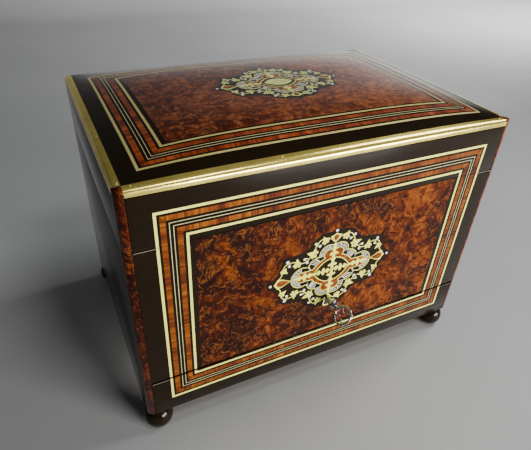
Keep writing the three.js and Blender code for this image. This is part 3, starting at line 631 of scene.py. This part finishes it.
# ---- Inlay ----
def inlay(name, shapes, surface, rise, material, body, cuts=(), along=None):
    """Lays flat pieces into a surface. A shape is a list of loops, the first its outline, the rest its holes.
    cuts are (axis, place) pairs where the pieces are divided so that they follow a curved surface. along
    gives each shape's direction, and its UV then runs along and across that direction."""
    bm = bmesh.new()
    uv_layer = bm.loops.layers.uv.new("UVMap")
    for number, loops in enumerate(shapes):
        flat = [point for loop in loops for point in loop]
        triangles = tessellate_polygon([[Vector((u, v, 0)) for u, v in loop] for loop in loops])
        tops = [bm.verts.new((u, v, rise)) for u, v in flat]
        feet = [bm.verts.new((u, v, -INLAY_DEPTH)) for u, v in flat]
        made = []
        for a, b, c in triangles:
            made.append(bm.faces.new((tops[a], tops[b], tops[c])))
            made.append(bm.faces.new((feet[c], feet[b], feet[a])))
        start = 0
        for loop in loops:
            size = len(loop)
            for i in range(size):
                p, q = start + i, start + (i + 1) % size
                made.append(bm.faces.new((tops[p], tops[q], feet[q], feet[p])))
            start += size
        if along:
            direction = Vector(along[number])
            for corner in (corner for face in made for corner in face.loops):
                place = Vector(corner.vert.co[:2])
                u = place.dot(direction) * MM + UV_SHIFT * number
                corner[uv_layer].uv = (u, (place.x * direction.y - place.y * direction.x) * MM)
    for axis, place in cuts:
        normal = Vector((axis == "u", axis == "v", 0))
        geometry = bm.verts[:] + bm.edges[:] + bm.faces[:]
        bmesh.ops.bisect_plane(bm, geom=geometry, plane_co=normal * place, plane_no=normal, dist=1e-5)
    for vert in bm.verts:
        vert.co = surface(*vert.co)
    bmesh.ops.recalc_face_normals(bm, faces=bm.faces)
    piece(name, mesh_of(bm, name), material, body)


def frame_sides(half_x, low_v, high_v, width):
    """The four mitred sides of a rectangular band whose middle line is given, with their directions."""
    grow = (width / 2, -width / 2)
    outer, inner = (quad(-half_x - g, low_v - g, half_x + g, high_v + g)[0] for g in grow)
    sides = []
    for i in range(4):
        j = (i + 1) % 4
        sides.append(([[outer[i], outer[j], inner[j], inner[i]]], (1 - i % 2, i % 2)))
    return sides


def lay_frame(prefix, half_x, low_v, high_v, zones, materials):
    """Lays the six bands of a frame, divided between the zones (body, low, high, surface, cuts)."""
    for band, inset in BAND_OFFSETS.items():
        kind = band.split("_")[1]
        sides = frame_sides(half_x - inset, low_v + inset, high_v - inset, BAND_WIDTHS[kind])
        for body, zone_low, zone_high, surface, cuts in zones:
            strips = [(clipped(loops, zone_low, zone_high), direction) for loops, direction in sides]
            strips = [strip for strip in strips if strip[0]]
            if strips:
                shapes, along = zip(*strips)
                name = f"{prefix}_{band}_{body}"
                inlay(name, shapes, surface, LAYER, materials[kind], body, cuts, along)


def to_rise(z):
    """Height over the body's underside, in millimetres."""
    return (z - BODY_Z) / MM


FLAP_LOW = to_rise(FLAP_LOW_Z)
FLAP_ARRIS = (JOINTS["fall_front_hinge"]["pos_m"][2] - FLAP_LOW_Z) / MM
FLAP_CUTS = [("v", FLAP_LOW + FLAP_ARRIS * (1 - math.sin(math.radians(a)))) for a in range(0, 75, 12)]


def grid_cuts(u_steps, v_steps):
    """Cuts at equal steps both ways, for pieces that lie on the dome."""
    return [(axis, CUT_PITCH * i) for axis, steps in (("u", u_steps), ("v", v_steps)) for i in steps]


LID_CUTS = grid_cuts(range(-23, 24), range(-16, 17))


def on_flap(u, v, rise):
    """A point on the fall front, whose lower edge is rounded about its pivot."""
    below = FLAP_ARRIS - (v - FLAP_LOW)
    if below <= 0:
        return on_front(u, v, rise)
    angle = math.asin(min(below / FLAP_ARRIS, 1))
    reach = (FLAP_ARRIS + rise) * MM
    middle_y, middle_z = FRONT_Y + FLAP_ARRIS * MM, FLAP_LOW_Z + FLAP_ARRIS * MM
    return Vector((u * MM, middle_y - reach * math.cos(angle), middle_z - reach * math.sin(angle)))


FRONT_ZONES = [
    ("case", -1.0, to_rise(SILL_TOP_Z), on_front, ()),
    ("fall_front", FLAP_LOW + SEAM_GAP, to_rise(FLAP_HIGH_Z), on_flap, FLAP_CUTS),
    ("lid", to_rise(LID_Z), to_rise(EDGING_Z), on_front, ()),
]
LID_ZONES = [("lid", -HALF_DEPTH / MM, HALF_DEPTH / MM, on_lid, LID_CUTS)]
FRONT_BANDS = {"string": STRING, "cross": CROSSBAND, "line": FINE_LINE}
LID_BANDS = {"string": LID_STRING_PAINTED_SHEEN, "cross": CROSSBAND_LID_PAINTED_SHEEN, "line": FINE_LINE}
lay_frame("front", FRONT_FRAME["x"], FRONT_FRAME["low"], FRONT_FRAME["high"], FRONT_ZONES, FRONT_BANDS)
lay_frame("lid", LID_FRAME["x"], -LID_FRAME["y"], LID_FRAME["y"], LID_ZONES, LID_BANDS)
front_field = quad(-FRONT_FIELD_X, FLAP_LOW + SEAM_GAP, FRONT_FIELD_X, to_rise(FLAP_HIGH_Z))
inlay("front_burl_field", [front_field], on_flap, LAYER, BURL, "fall_front", FLAP_CUTS)
lid_field = quad(-LID_FIELD["x"], -LID_FIELD["y"], LID_FIELD["x"], LID_FIELD["y"])
inlay("lid_burl_field", [lid_field], on_lid, LAYER, BURL_LID_PAINTED_SHEEN, "lid", LID_CUTS)

# Thin pale lines along the seams, from the posts to the strings: partly ebonising rubbed off, partly a
# painted highlight where light catches the seams' arrises.
SEAM_LINE_X = (FRONT_FRAME["x"] + 0.6, FLAT_X / MM - 0.4)
for body, edge in (("case", to_rise(SILL_TOP_Z)), ("fall_front", to_rise(FLAP_HIGH_Z))):
    foot, top = edge - 0.62, edge - 0.22
    lines = [quad(-SEAM_LINE_X[1], foot, -SEAM_LINE_X[0], top), quad(SEAM_LINE_X[0], foot, SEAM_LINE_X[1], top)]
    inlay(f"seam_wear_and_highlight_{body}", lines, on_front, LAYER, SEAM_WEAR_AND_HIGHLIGHT, body)


# ---- Medallions ----
MEDALLION_CUTS = grid_cuts(range(-8, 10), range(-5, 7))
IVY_HALF = [
    (0, 0), (-0.9, -1.2), (-0.8, -2.9), (1.0, -2.5), (1.6, -4.3),
    (3.2, -3.4), (3.7, -1.9), (5.2, -1.7), (8.6, 0),
]
IVY_VEINS = [
    [[(0.4, -0.16), (6.6, 0), (0.4, 0.16)]],
    [[(0.9, 0.1), (2.0, 3.1), (1.3, 0.1)]],
    [[(0.9, -0.1), (2.0, -3.1), (1.3, -0.1)]],
]
LEAVES = [(9.2, 30.2, 66, 0.88), (17.4, 21.0, 20, 1.12), (34.2, 13.2, 86, 1.0), (47.6, 13.4, 222, 0.8)]
BERRIES = [
    (18.7, 31.5, 1.35), (14.8, 28.5, 1.3), (27.7, 18.9, 1.3),
    (25.2, 14.9, 1.3), (43.3, 20.6, 1.45), (41.6, 15.9, 1.3),
]
AXIS_BERRIES = [(57.6, 0, 1.2), (-57.6, 0, 1.2), (0, 40.0, 1.3)]
VINE = [
    (1.4, 29.4), (4.6, 33.0), (10.0, 34.8), (14.6, 33.8), (17.4, 30.4), (19.4, 26.2),
    (21.6, 21.4), (24.6, 17.2), (28.2, 15.4), (31.6, 15.9), (35.2, 17.9), (39.6, 19.0),
    (44.2, 18.2), (46.8, 15.0), (47.2, 11.0), (48.4, 7.2), (50.6, 4.6),
]
SPRAYS = [
    [(18.2, 29.0), (16.4, 29.2), (14.8, 28.5)],
    [(24.0, 18.0), (26.0, 19.4), (27.7, 18.9)],
    [(39.6, 19.0), (41.4, 17.8), (41.6, 15.9)],
]
VINE_WIDTH = 0.75
SPRAY_WIDTH = 0.55
BAND_LOBES = [(28.4, 0, 10.4), (14.5, 7.84, 9.0), (5.2, 18.6, 8.5)]
FIELD_LOBES = [(28.6, 0, 5.6), (21.5, 0, 5.4), (2.6, -4.5, 18.9), (4.4, 17.2, 5.0)]
QUARTER_GROUND = [
    (0, 42.6), (4.5, 40.2), (13.5, 39.6), (19.6, 35.4), (23.4, 29.6), (30.0, 26.4),
    (38.0, 25.4), (45.0, 24.2), (48.8, 19.4), (50.4, 11.4), (54.8, 6.4), (60.6, 0),
]
ALMOND = (17.6, 12.2)
CENTRE_ALMOND = (13.6, 8.0)
LOZENGE = [(-6, 0), (0, 4), (6, 0), (0, -4)]
STUD = {"pitch": 1.7, "half_width": 0.31, "inset": 1.5, "slant": 14}
SIDE_CUP = [(0, 0), (3.0, 1.5), (7.0, 3.7), (10.4, 4.9), (12.6, 5.0), (13.2, 3.2), (15.6, 0)]
SIDE_HEART = [(1.2, 0), (4.0, 1.5), (8.0, 3.2), (10.6, 3.4), (12.4, 1.9), (13.2, 0)]
TOP_CUP = [(0, 0), (2.4, 1.5), (4.6, 2.9), (6.4, 5.0), (7.6, 5.2), (7.7, 3.0), (9.8, 0)]
TOP_HEART = [(1.4, 0), (4.0, 1.9), (6.6, 2.4), (8.4, 0)]
KEYHOLE_RIM = [(0, 0), (1.2, 2.1), (4.4, 3.2), (9.0, 3.4), (12.0, 3.9), (13.6, 2.6), (14.0, 0)]
KEYHOLE = [(1.0, 0), (2.2, 1.5), (5.0, 2.3), (8.8, 2.4), (11.4, 2.7), (12.4, 1.6), (12.8, 0)]
UPRIGHT_LOBES = [(5.6, 4.6), (11.6, 2.4), (17.2, 4.4), (22.6, 2.6)]
ARM_LOBES = [(4.6, 2.6), (8.6, 4.0), (13.2, 2.6)]
OUTER_ARM_LOBES = [(21.8, 2.8), (26.6, 4.2), (31.4, 2.8)]


def mirrored(half):
    """A closed outline from its upper half."""
    return [[*half, *((u, -v) for u, v in reversed(half[1:-1]))]]


def four_quarters(quarter):
    """A closed symmetric outline from its quarter, given from the U axis to the V axis."""
    return mirrored([*quarter, *((-u, v) for u, v in reversed(quarter[:-1]))])[0]


def swapped(path):
    return [(v, u) for u, v in path]


def almond(half_length, half_height):
    """A pointed oval."""
    points = []
    steps = 12
    for i in range(steps):
        t = -1 + 2 * i / steps
        points.append((half_length * t, half_height * (1 - abs(t) ** 2.3)))
    return points + [(-u, -v) for u, v in points]


def lobed(lobes):
    """The outline of overlapping discs, given in the first quadrant and repeated in the other three."""
    quarter = []
    steps = 46
    for i in range(steps + 1):
        angle = 0.5 * math.pi * i / steps
        c, s = math.cos(angle), math.sin(angle)
        reach = 0
        for x, y, radius in lobes:
            near = x * c + y * s
            inside = radius ** 2 - (x * s - y * c) ** 2
            if inside > 0:
                reach = max(reach, near + math.sqrt(inside))
        quarter.append((reach * c, reach * s))
    return four_quarters(quarter)


def leafy_bar(start, end, lobes, half_width):
    """A bar with pairs of rounded leaves along it."""
    upper = [(start, 0), (start + 0.4, half_width)]
    for place, reach in lobes:
        upper += [(place - 1.7, half_width), (place - 1.5, 0.8 * reach), (place - 0.3, reach)]
        upper += [(place + 1.0, 0.7 * reach), (place + 1.3, half_width)]
    upper += [(end - 0.8, half_width), (end, 0)]
    return mirrored(upper)


def band_studs(outer, inner):
    """Small slanting pieces of shell set across a band at equal steps along it."""
    half = STUD["half_width"]
    studs = []
    travelled = 0
    for i, (x, y) in enumerate(outer):
        ax, ay = outer[i - 1]
        travelled += math.hypot(x - ax, y - ay)
        if travelled < STUD["pitch"]:
            continue
        travelled -= STUD["pitch"]
        bx, by = min(inner, key=lambda point: math.dist(point, (x, y)))
        reach = (math.hypot(x - bx, y - by) - STUD["inset"]) / 2
        turn = math.degrees(math.atan2(y - by, x - bx)) + STUD["slant"]
        shape = [[(-reach, -half), (reach, -half * 0.6), (reach, half), (-reach, half * 0.6)]]
        studs.append(placed(shape, (x + bx) / 2, (y + by) / 2, turn))
    return studs


def medallion(prefix, surface, shift, body, plain_centre, cuts, brass, ebony):
    """One marquetry medallion. shift moves it to its place on the surface. Higher layers stand prouder."""
    def lay(name, shapes, layer, material):
        moved = [placed(loops, *shift) for loops in shapes]
        inlay(f"{prefix}_{name}", moved, surface, layer * LAYER, material, body, cuts)

    def turned(loops, *turns):
        return [placed(loops, 0, 0, turn) for turn in turns]

    band = lobed(BAND_LOBES)
    field = lobed(FIELD_LOBES)
    ground = smooth_path(swapped(four_quarters(swapped(QUARTER_GROUND))), True, 4)
    lay("ground", [[ground]], 2, ebony)
    lay("studs", band_studs(band, field), 3, PEARL)
    lay("shell_field", [[field]], 4, SHELL)
    lay("band_lines", [stroke(band, 0.7, closed=True), stroke(field, 0.7, closed=True)], 5, brass)
    lay("almond_ground", [[almond(*ALMOND)]], 5, ebony)
    lay("almond_line", [stroke(almond(*ALMOND), 0.8, closed=True)], 6, brass)
    bars = turned(leafy_bar(17, 36.5, OUTER_ARM_LOBES, 1.2), 0, 180)
    if plain_centre:
        lay("centre_plate", [[almond(*CENTRE_ALMOND)]], 6, brass)
        lay("centre_lozenge", [stroke(LOZENGE, 0.4, closed=True)], 7, ebony)
        bars += turned(leafy_bar(12.4, 28, UPRIGHT_LOBES[2:], 1.3), 90, 270)
    else:
        bars += turned(leafy_bar(0, 17.8, ARM_LOBES, 0.8), 0, 180)
        bars += turned(leafy_bar(0, 28, UPRIGHT_LOBES, 1.3), 90, 270)
    lay("foliage", bars, 8, brass)
    side_places = [(39, 0, 0), (-39, 0, 180)]
    end_places = [(0, 28, 90), (0, -28, 270)]
    cups = [placed(mirrored(SIDE_CUP), *place) for place in side_places]
    hearts = [placed(mirrored(SIDE_HEART), *place) for place in side_places]
    if plain_centre:
        cups += [placed(mirrored(TOP_CUP), *place) for place in end_places]
        hearts += [placed(mirrored(TOP_HEART), *place) for place in end_places]
    else:
        cups += [placed(mirrored(TOP_CUP), *end_places[0]), placed(mirrored(KEYHOLE_RIM), *end_places[1])]
        hearts.append(placed(mirrored(TOP_HEART), *end_places[0]))
        # The keyhole is a dark iron shape laid on the surface: painted shade for the dark inside of the hole.
        lay("keyhole", [placed(mirrored(KEYHOLE), *end_places[1])], 6, IRON)
    lay("finials", cups, 5, brass)
    lay("finial_hearts", hearts, 6, SHELL)
    vines = [stroke(smooth_path(VINE), VINE_WIDTH)]
    vines += [stroke(smooth_path(spray), SPRAY_WIDTH) for spray in SPRAYS]
    lay("vines", four_ways(vines), 3, brass)
    lay("leaves", four_ways([placed(mirrored(IVY_HALF), *leaf) for leaf in LEAVES]), 4, brass)
    veins = [placed(loops, *leaf) for leaf in LEAVES for loops in IVY_VEINS]
    lay("veins", four_ways(veins), 5, ebony)
    berries = four_ways([disc(*berry) for berry in BERRIES]) + [disc(*berry) for berry in AXIS_BERRIES]
    lay("berries", berries, 5, PEARL)


medallion("front_medallion", on_front, (0.8, MEDALLION_RISE), "fall_front", False, (), LEAF_BRASS, EBONY)
medallion("lid_medallion", on_lid, (3.0, 4.5), "lid", True, MEDALLION_CUTS, LID_LEAF_PAINTED_SHEEN, EBONY_LID)


# ---- Lid board and edging ----
def lid_board():
    """The lid's domed board, fine enough to shade as one curve. Its lower half stands between the walls."""
    clearance = 0.3 * MM
    under_edging = 2.0 * MM
    upper = (SIDE_X - under_edging, -HALF_DEPTH + under_edging, HALF_DEPTH)
    reach_y = low("lid_back").y - CENTRE_Y - clearance
    lower = (low("lid_right").x - clearance, -reach_y, reach_y)
    shelf, foot = EDGING_Z, low("lid_top").z
    columns, rows = 72, 54
    wide = columns + 1

    def sheet(half_x, front, back, height=None):
        """A grid of points at one height, or on the dome where none is given."""
        points = []
        for r in range(rows + 1):
            for c in range(wide):
                x, y = half_x * (2 * c / columns - 1), front + (back - front) * r / rows
                points.append(Vector((x, CENTRE_Y + y, dome(x, y) if height is None else height)))
        return points

    sheets = [sheet(*upper), sheet(*upper, shelf), sheet(*lower, shelf), sheet(*lower, foot)]
    verts = [point for points in sheets for point in points]
    layer = len(sheets[0])
    faces = []
    for r in range(rows):
        for c in range(columns):
            a = r * wide + c
            cell = (a, a + 1, a + wide + 1, a + wide)
            faces.append(cell)
            faces.append(tuple(3 * layer + k for k in reversed(cell)))
    rim = list(range(columns)) + [r * wide + columns for r in range(rows)]
    rim += [rows * wide + c for c in range(columns, 0, -1)] + [r * wide for r in range(rows, 0, -1)]
    for k in range(3):
        for a, b in zip(rim, rim[1:] + rim[:1]):
            faces.append((k * layer + a, (k + 1) * layer + a, (k + 1) * layer + b, k * layer + b))
    board = mesh_from("lid_board", verts, faces, 35)
    piece("lid_board", board, EBONY, "lid", ["lid_top", "lid_medallion"])


def edging_strip(name, axis, side, node):
    """Brass edging with a rounded arris that follows the dome, mitred at the front with a small V notch."""
    width, arris = EDGING["width"], EDGING["arris"]
    notch = 2.6
    steps = 48
    inward = [0, 0, 0.12, 0.45, 1.0, 1.7, 2.4, arris, 4.5, width, width]
    half_x, half_y = SIDE_X / MM, HALF_DEPTH / MM
    verts = []
    for i in range(steps + 1):
        for k, s in enumerate(inward):
            cut_back = s if s > notch else notch + (notch - s) * 1.5
            if axis == "x":
                limit = half_x - cut_back
                u, v = -limit + 2 * limit * i / steps, -half_y + s
            else:
                start, end = -half_y + cut_back, half_y - rear_round(s)
                u, v = side * (half_x - s), start + (end - start) * i / steps
            if k in (0, len(inward) - 1):
                verts.append(Vector((u * MM, CENTRE_Y + v * MM, EDGING_Z)))
            else:
                drop = arris - math.sqrt(max(arris ** 2 - (arris - min(s, arris)) ** 2, 0))
                verts.append(on_lid(u, v, EDGING["proud"] - drop))
    mesh = mesh_from(name, verts, tube_faces(steps + 1, len(inward)), 50)
    piece(name, mesh, EDGING_BRASS, "lid", [node])


def rear_round(s):
    """How far a point s inside the edge stands back from the rear face at the rounded rear corner."""
    radius = EDGING["width"]
    if s >= radius:
        return 0.0
    return radius - math.sqrt(radius ** 2 - (radius - s) ** 2)


def edging_pins():
    """Small brass pins that hold the edging, near the ends and along each strip."""
    parts = []
    head = [(0.75, -0.2), (0.75, 0.04), (0.6, 0.19), (0.3, 0.28)]
    inset = 4.6
    edge = SIDE_X / MM - inset
    spots = [(u, inset - HALF_DEPTH / MM) for u in (-154, -52, 52, 154)]
    spots += [(side * edge, v) for side in (-1, 1) for v in (-104, -35, 35, 104)]
    for u, v in spots:
        parts.append(lathe(head, on_lid(u, v, EDGING["proud"]), sides=10))
    assembled("edging_pins", parts, EDGING_BRASS, "lid", 60)


lid_board()
for node, axis, side in (("edging_front", "x", 1), ("edging_left", "y", -1), ("edging_right", "y", 1)):
    edging_strip(node + "_moulding", axis, side, node)
edging_pins()

# ---- Carcase ----
def soften_all(table):
    """Rounds the arrises of the nodes of a table of (width, material, slot, nodes)."""
    for width, material, slot, nodes in table:
        for node in nodes:
            softened(node, width, material)


soften_all((
    (0.35, EBONY, "ebonised_wood", ("front_sill", "lid_front", "case_back", "lid_back")),
    (0.35, EBONY_SIDE, "ebonised_wood", ("side_left", "side_right", "lid_left", "lid_right")),
    (0.3, BURL_POST, "burl_veneer", ("corner_post_left", "corner_post_right")),
    (0.3, BURL_POST, "burl_veneer", ("lid_corner_left", "lid_corner_right")),
    (0.3, EBONY, "ebonised_wood", ("fall_front_panel",)),
    (0.4, PINE, "pine", ("bottom_board", "sound_board")),
    (0.5, WALNUT, "ebonised_wood", ("dust_cover_frame",)),
))
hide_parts("front_medallion")
keep("dust_cover_glass", GLASS)

FOOT_PROFILE = [
    (5.4, 0), (6.6, 0.3), (8.4, 1.2), (10.4, 3.0), (11.8, 5.6), (12.5, 8.6), (12.5, 11.4), (11.9, 14.4),
    (10.6, 17.0), (9.0, 19.0), (7.7, 20.2), (7.3, 21.0), (7.6, 21.6), (8.3, 22.2), (8.4, 23.0), (8.2, 23.7),
]
for corner in ("front_left", "front_right", "rear_left", "rear_right"):
    node = "foot_" + corner
    middle = centre(node)
    foot = lathe(FOOT_PROFILE, (middle.x, middle.y, low(node).z), sides=56)
    assembled(node + "_turned", [foot], EBONY, "case", 40, [node])

# ---- Key ----
# Radii and distances out from the front are in millimetres. A cusp runs inwards from an angle of the bow's
# ring to another angle at a smaller radius.
KEY_PROFILE = [
    (1.8, -17.0), (1.8, 6.4), (2.6, 7.0), (3.7, 8.2), (4.3, 10.2), (4.3, 11.8), (3.7, 13.2),
    (2.6, 14.2), (1.9, 14.8), (1.7, 16.0), (1.5, 17.4), (0.6, 17.9),
]
BOW_REACH = 25.8
BOW_RADIUS = 7.9
BOW_CUSPS = [(45, 60, 4.2), (142, 134, 3.0)]
BOW_WIRE = 1.08
TIP_BEAD = 0.85
ROOT_BEAD = 1.15
KEY_REST_TURN = -45


def on_bow(angle, radius):
    """A point of the key's bow. The angle is counted in degrees from its far end."""
    a = math.radians(angle)
    return Vector((radius * math.sin(a), -BOW_REACH - radius * math.cos(a), 0)) * MM


def key():
    """A steel key: pipe, bell collar, bit and a round bow with inward cusps that have a bead at both ends."""
    pivot = Vector(JOINTS["key_turn"]["pos_m"])
    rest = Matrix.Rotation(math.radians(KEY_REST_TURN), 3, "Y")
    parts = [lathe(KEY_PROFILE, (0, 0, 0), (0, -1, 0), 32)]
    ring = [on_bow(angle, BOW_RADIUS) for angle in range(-180, 181, 10)]
    parts.append(sweep(ring, [BOW_WIRE * MM] * len(ring), 12))
    shares = [i / 5 for i in range(6)]
    for side in (-1, 1):
        for base, tip, reach in BOW_CUSPS:
            angles = [side * (base + (tip - base) * t) for t in shares]
            path = [on_bow(angle, BOW_RADIUS + (reach - BOW_RADIUS) * t) for angle, t in zip(angles, shares)]
            parts.append(sweep(path, [(1.0 - 0.35 * t) * MM for t in shares], 10))
            parts.append(bead(path[-1], TIP_BEAD * MM))
            parts.append(bead(on_bow(side * base, BOW_RADIUS + 0.5), ROOT_BEAD * MM))
    bit_section = [(1, -0.9), (6.8, -0.9), (6.8, 0.9), (1, 0.9)]
    bit = [Vector((x, y, z)) * MM for y in (13.6, 16.6) for x, z in bit_section]
    parts.append((bit, tube_faces(2, 4)))
    verts, faces = gather(parts)
    verts = [pivot + rest @ v for v in verts]
    assembled("key_cusped", [(verts, faces)], KEY_STEEL, "key", 45, ["key"])


def bead(place, radius):
    """A small ball."""
    sides = 14
    bm = bmesh.new()
    spot = Matrix.Translation(place) @ Matrix.Rotation(math.pi / sides, 4, "Z")
    bmesh.ops.create_uvsphere(bm, u_segments=sides, v_segments=8, radius=radius, matrix=spot)
    bm.verts.index_update()
    verts = [v.co.copy() for v in bm.verts]
    faces = [tuple(v.index for v in face.verts) for face in bm.faces]
    bm.free()
    return verts, faces


key()

# ---- Movement and fittings ----
soften_all((
    (0.2, BRASS, "brass", ("left_standard", "barrel_standard", "right_standard", "governor_frame")),
    (0.2, BRASS, "brass", ("comb_base", "spring_barrel", "barrel_cover", "fly", "winding_lever")),
    (0.2, BRASS, "brass", ("start_lever", "lid_striker", "lid_hinge_fixed_left", "lid_hinge_fixed_right")),
    (0.2, BRASS, "brass", ("lid_hinge_moving_left", "lid_hinge_moving_right")),
    (0.2, STEEL, "steel", ("lock_case", "lock_bolt", "click")),
    (0.8, IRON, "cast_iron", ("bedplate",)),
))
for node in ("great_wheel", "worm_wheel", "tune_cylinder", "fall_front_pivot_left", "fall_front_pivot_right"):
    keep(node, BRASS)
for node in ("cylinder_arbor", "winding_arbor", "governor_arbor", "worm_arbor", "ratchet_wheel", "comb"):
    keep(node, STEEL)
keep("mainspring", SPRING_STEEL)

KNOB_PROFILE = [
    (3.0, 0), (3.4, 0.5), (3.0, 1.4), (3.2, 2.6), (4.4, 5.0), (5.6, 7.4), (6.0, 9.4),
    (5.6, 11.8), (4.4, 13.9), (2.8, 15.2), (1.0, 16.0),
]
knob = centre("lever_knob")
knob_parts = [lathe(KNOB_PROFILE, (knob.x, knob.y, low("lever_knob").z), sides=32)]
assembled("lever_knob_turned", knob_parts, EBONY, "lever", 40, ["lever_knob"])

COMB_SCREWS = 7
SCREW_INSET = 7 * MM


def cylinder_pins():
    """The tune's pins: a random but repeatable set, in rows under the comb's teeth."""
    chooser = random.Random(12)
    start, end = low("tune_cylinder"), high("tune_cylinder")
    axis = centre("tune_cylinder")
    radius = (end.z - start.z) / 2
    rows = 46
    pin = [(0.28, -0.4), (0.28, 0.8), (0.2, 1.05)]
    parts = []
    for row in range(rows):
        x = start.x + (end.x - start.x) * (row + 0.62) / rows
        for _ in range(chooser.randint(7, 13)):
            a = chooser.uniform(0, 2 * math.pi)
            out = Vector((0, math.cos(a), math.sin(a)))
            parts.append(lathe(pin, Vector((x, axis.y, axis.z)) + out * radius, out, 5))
    assembled("tune_pins", parts, STEEL, "cylinder")


def screws():
    """Slotted screws of the comb, bedplate, hinges, lock and striker."""
    up, back = (0, 0, 1), (0, 1, 0)
    heads = {"case": [], "lid": [], "fall_front": []}
    start, end = low("comb"), high("comb")
    for i in range(COMB_SCREWS):
        x = start.x + (end.x - start.x) * (i + 0.5) / COMB_SCREWS
        heads["case"].append(screw((x, start.y + SCREW_INSET, end.z), up, 2.6, 25 + 47 * i))
    start, end = low("bedplate"), high("bedplate")
    for k, x in enumerate((start.x + SCREW_INSET, end.x - SCREW_INSET)):
        for m, y in enumerate((start.y + SCREW_INSET, end.y - SCREW_INSET)):
            heads["case"].append(screw((x, y, end.z), up, 3.4, 40 * k + 75 * m))
    for body, kind in (("case", "fixed"), ("lid", "moving")):
        for side in ("left", "right"):
            node = f"lid_hinge_{kind}_{side}"
            start, end = low(node), high(node)
            z = start.z + SCREW_INSET if kind == "fixed" else end.z - SCREW_INSET
            for i in (-1, 0, 1):
                x = (start.x + end.x) / 2 + 11 * MM * i
                heads[body].append(screw((x, BACK_Y + LEAF_STAND * MM, z), back, 1.7, 30 + 65 * i))
    start, end = low("lock_case"), high("lock_case")
    for x in (start.x + 4 * MM, end.x - 4 * MM):
        for z in (start.z + 4 * MM, start.z + 26 * MM):
            heads["fall_front"].append(screw((x, end.y, z), back, 2.2, 900 * x / MM))
    start, end = low("lid_striker"), high("lid_striker")
    for x in (start.x + 4 * MM, end.x - 4 * MM):
        heads["lid"].append(screw((x, start.y + 1.2 * MM, end.z - 5 * MM), back, 1.8, 35))
    for body, parts in heads.items():
        assembled(f"screws_{body}", parts, STEEL, body, 35)


cylinder_pins()
screws()

# ---- Stage, camera and light ----
def stage():
    """A pale floor that sweeps up into a low wall well behind the object."""
    half_width, front, bend_start, bend, top = 4.5, -3.0, 1.5, 0.35, 2.0
    profile = [(front, 0), (0, 0)]
    for i in range(13):
        a = math.pi / 2 * i / 12
        profile.append((bend_start + bend * math.sin(a), bend * (1 - math.cos(a))))
    profile.append((bend_start + bend, top))
    verts = [(x, y, z) for y, z in profile for x in (-half_width, half_width)]
    faces = [(2 * i, 2 * i + 1, 2 * i + 3, 2 * i + 2) for i in range(len(profile) - 1)]
    mesh = mesh_from("floor", verts, faces)
    mesh.shade_smooth()
    mesh.materials.append(FLOOR)
    floor = linked("floor", mesh)


def camera():
    """The camera's place is given from the middle of the casket's underside, its angles in degrees."""
    data = bpy.data.cameras.new("camera")
    data.sensor_width = 36
    data.lens = 32.25
    data.clip_start = 0.01
    azimuth, elevation, roll = (math.radians(angle) for angle in (27.4, 34.65, 3.03))
    place = Vector((-0.19316, CENTRE_Y - 0.36376, BODY_Z + 0.36356))
    level = Matrix.Translation(place) @ Matrix.Rotation(-azimuth, 4, "Z")
    tilted = level @ Matrix.Rotation(math.pi / 2 - elevation, 4, "X")
    obj = linked("camera", data)
    obj.matrix_world = tilted @ Matrix.Rotation(roll, 4, "Z")
    bpy.context.scene.camera = obj


def area_light(name, place, target, size, power, color=(1, 1, 1)):
    """A rectangular softbox that faces a point."""
    data = bpy.data.lights.new(name, "AREA")
    data.shape = "RECTANGLE"
    data.size, data.size_y = size
    data.energy = power
    data.color = color
    obj = linked(name, data)
    obj.location = place
    obj.rotation_euler = (Vector(target) - Vector(place)).to_track_quat("-Z", "Y").to_euler()
    obj.visible_camera = False


def lights():
    """Each light's place, the point it faces, its size in metres and its power in watts."""
    area_light("front_soft", (0.8, -1.6, 0.32), (0, 0, 0.16), (1.1, 0.4), 66, (1.0, 0.97, 0.92))
    area_light("ceiling_lamp", (0.25, -0.75, 1.5), (0, -0.1, 0.1), (0.4, 0.25), 6)
    area_light("wall_wash", (1.9, 0.8, 0.7), (1.7, 1.85, 0.3), (1.2, 0.4), 52)
    area_light("side_soft", (1.02, -0.03, 1.29), (0.05, -0.1, 0.24), (0.55, 0.6), 16)
    world = bpy.data.worlds.new("studio")
    world.use_nodes = True
    background = world.node_tree.nodes["Background"]
    background.inputs["Color"].default_value = (0.5, 0.52, 0.55, 1)
    background.inputs["Strength"].default_value = 0.10
    bpy.context.scene.world = world


stage()
camera()
lights()
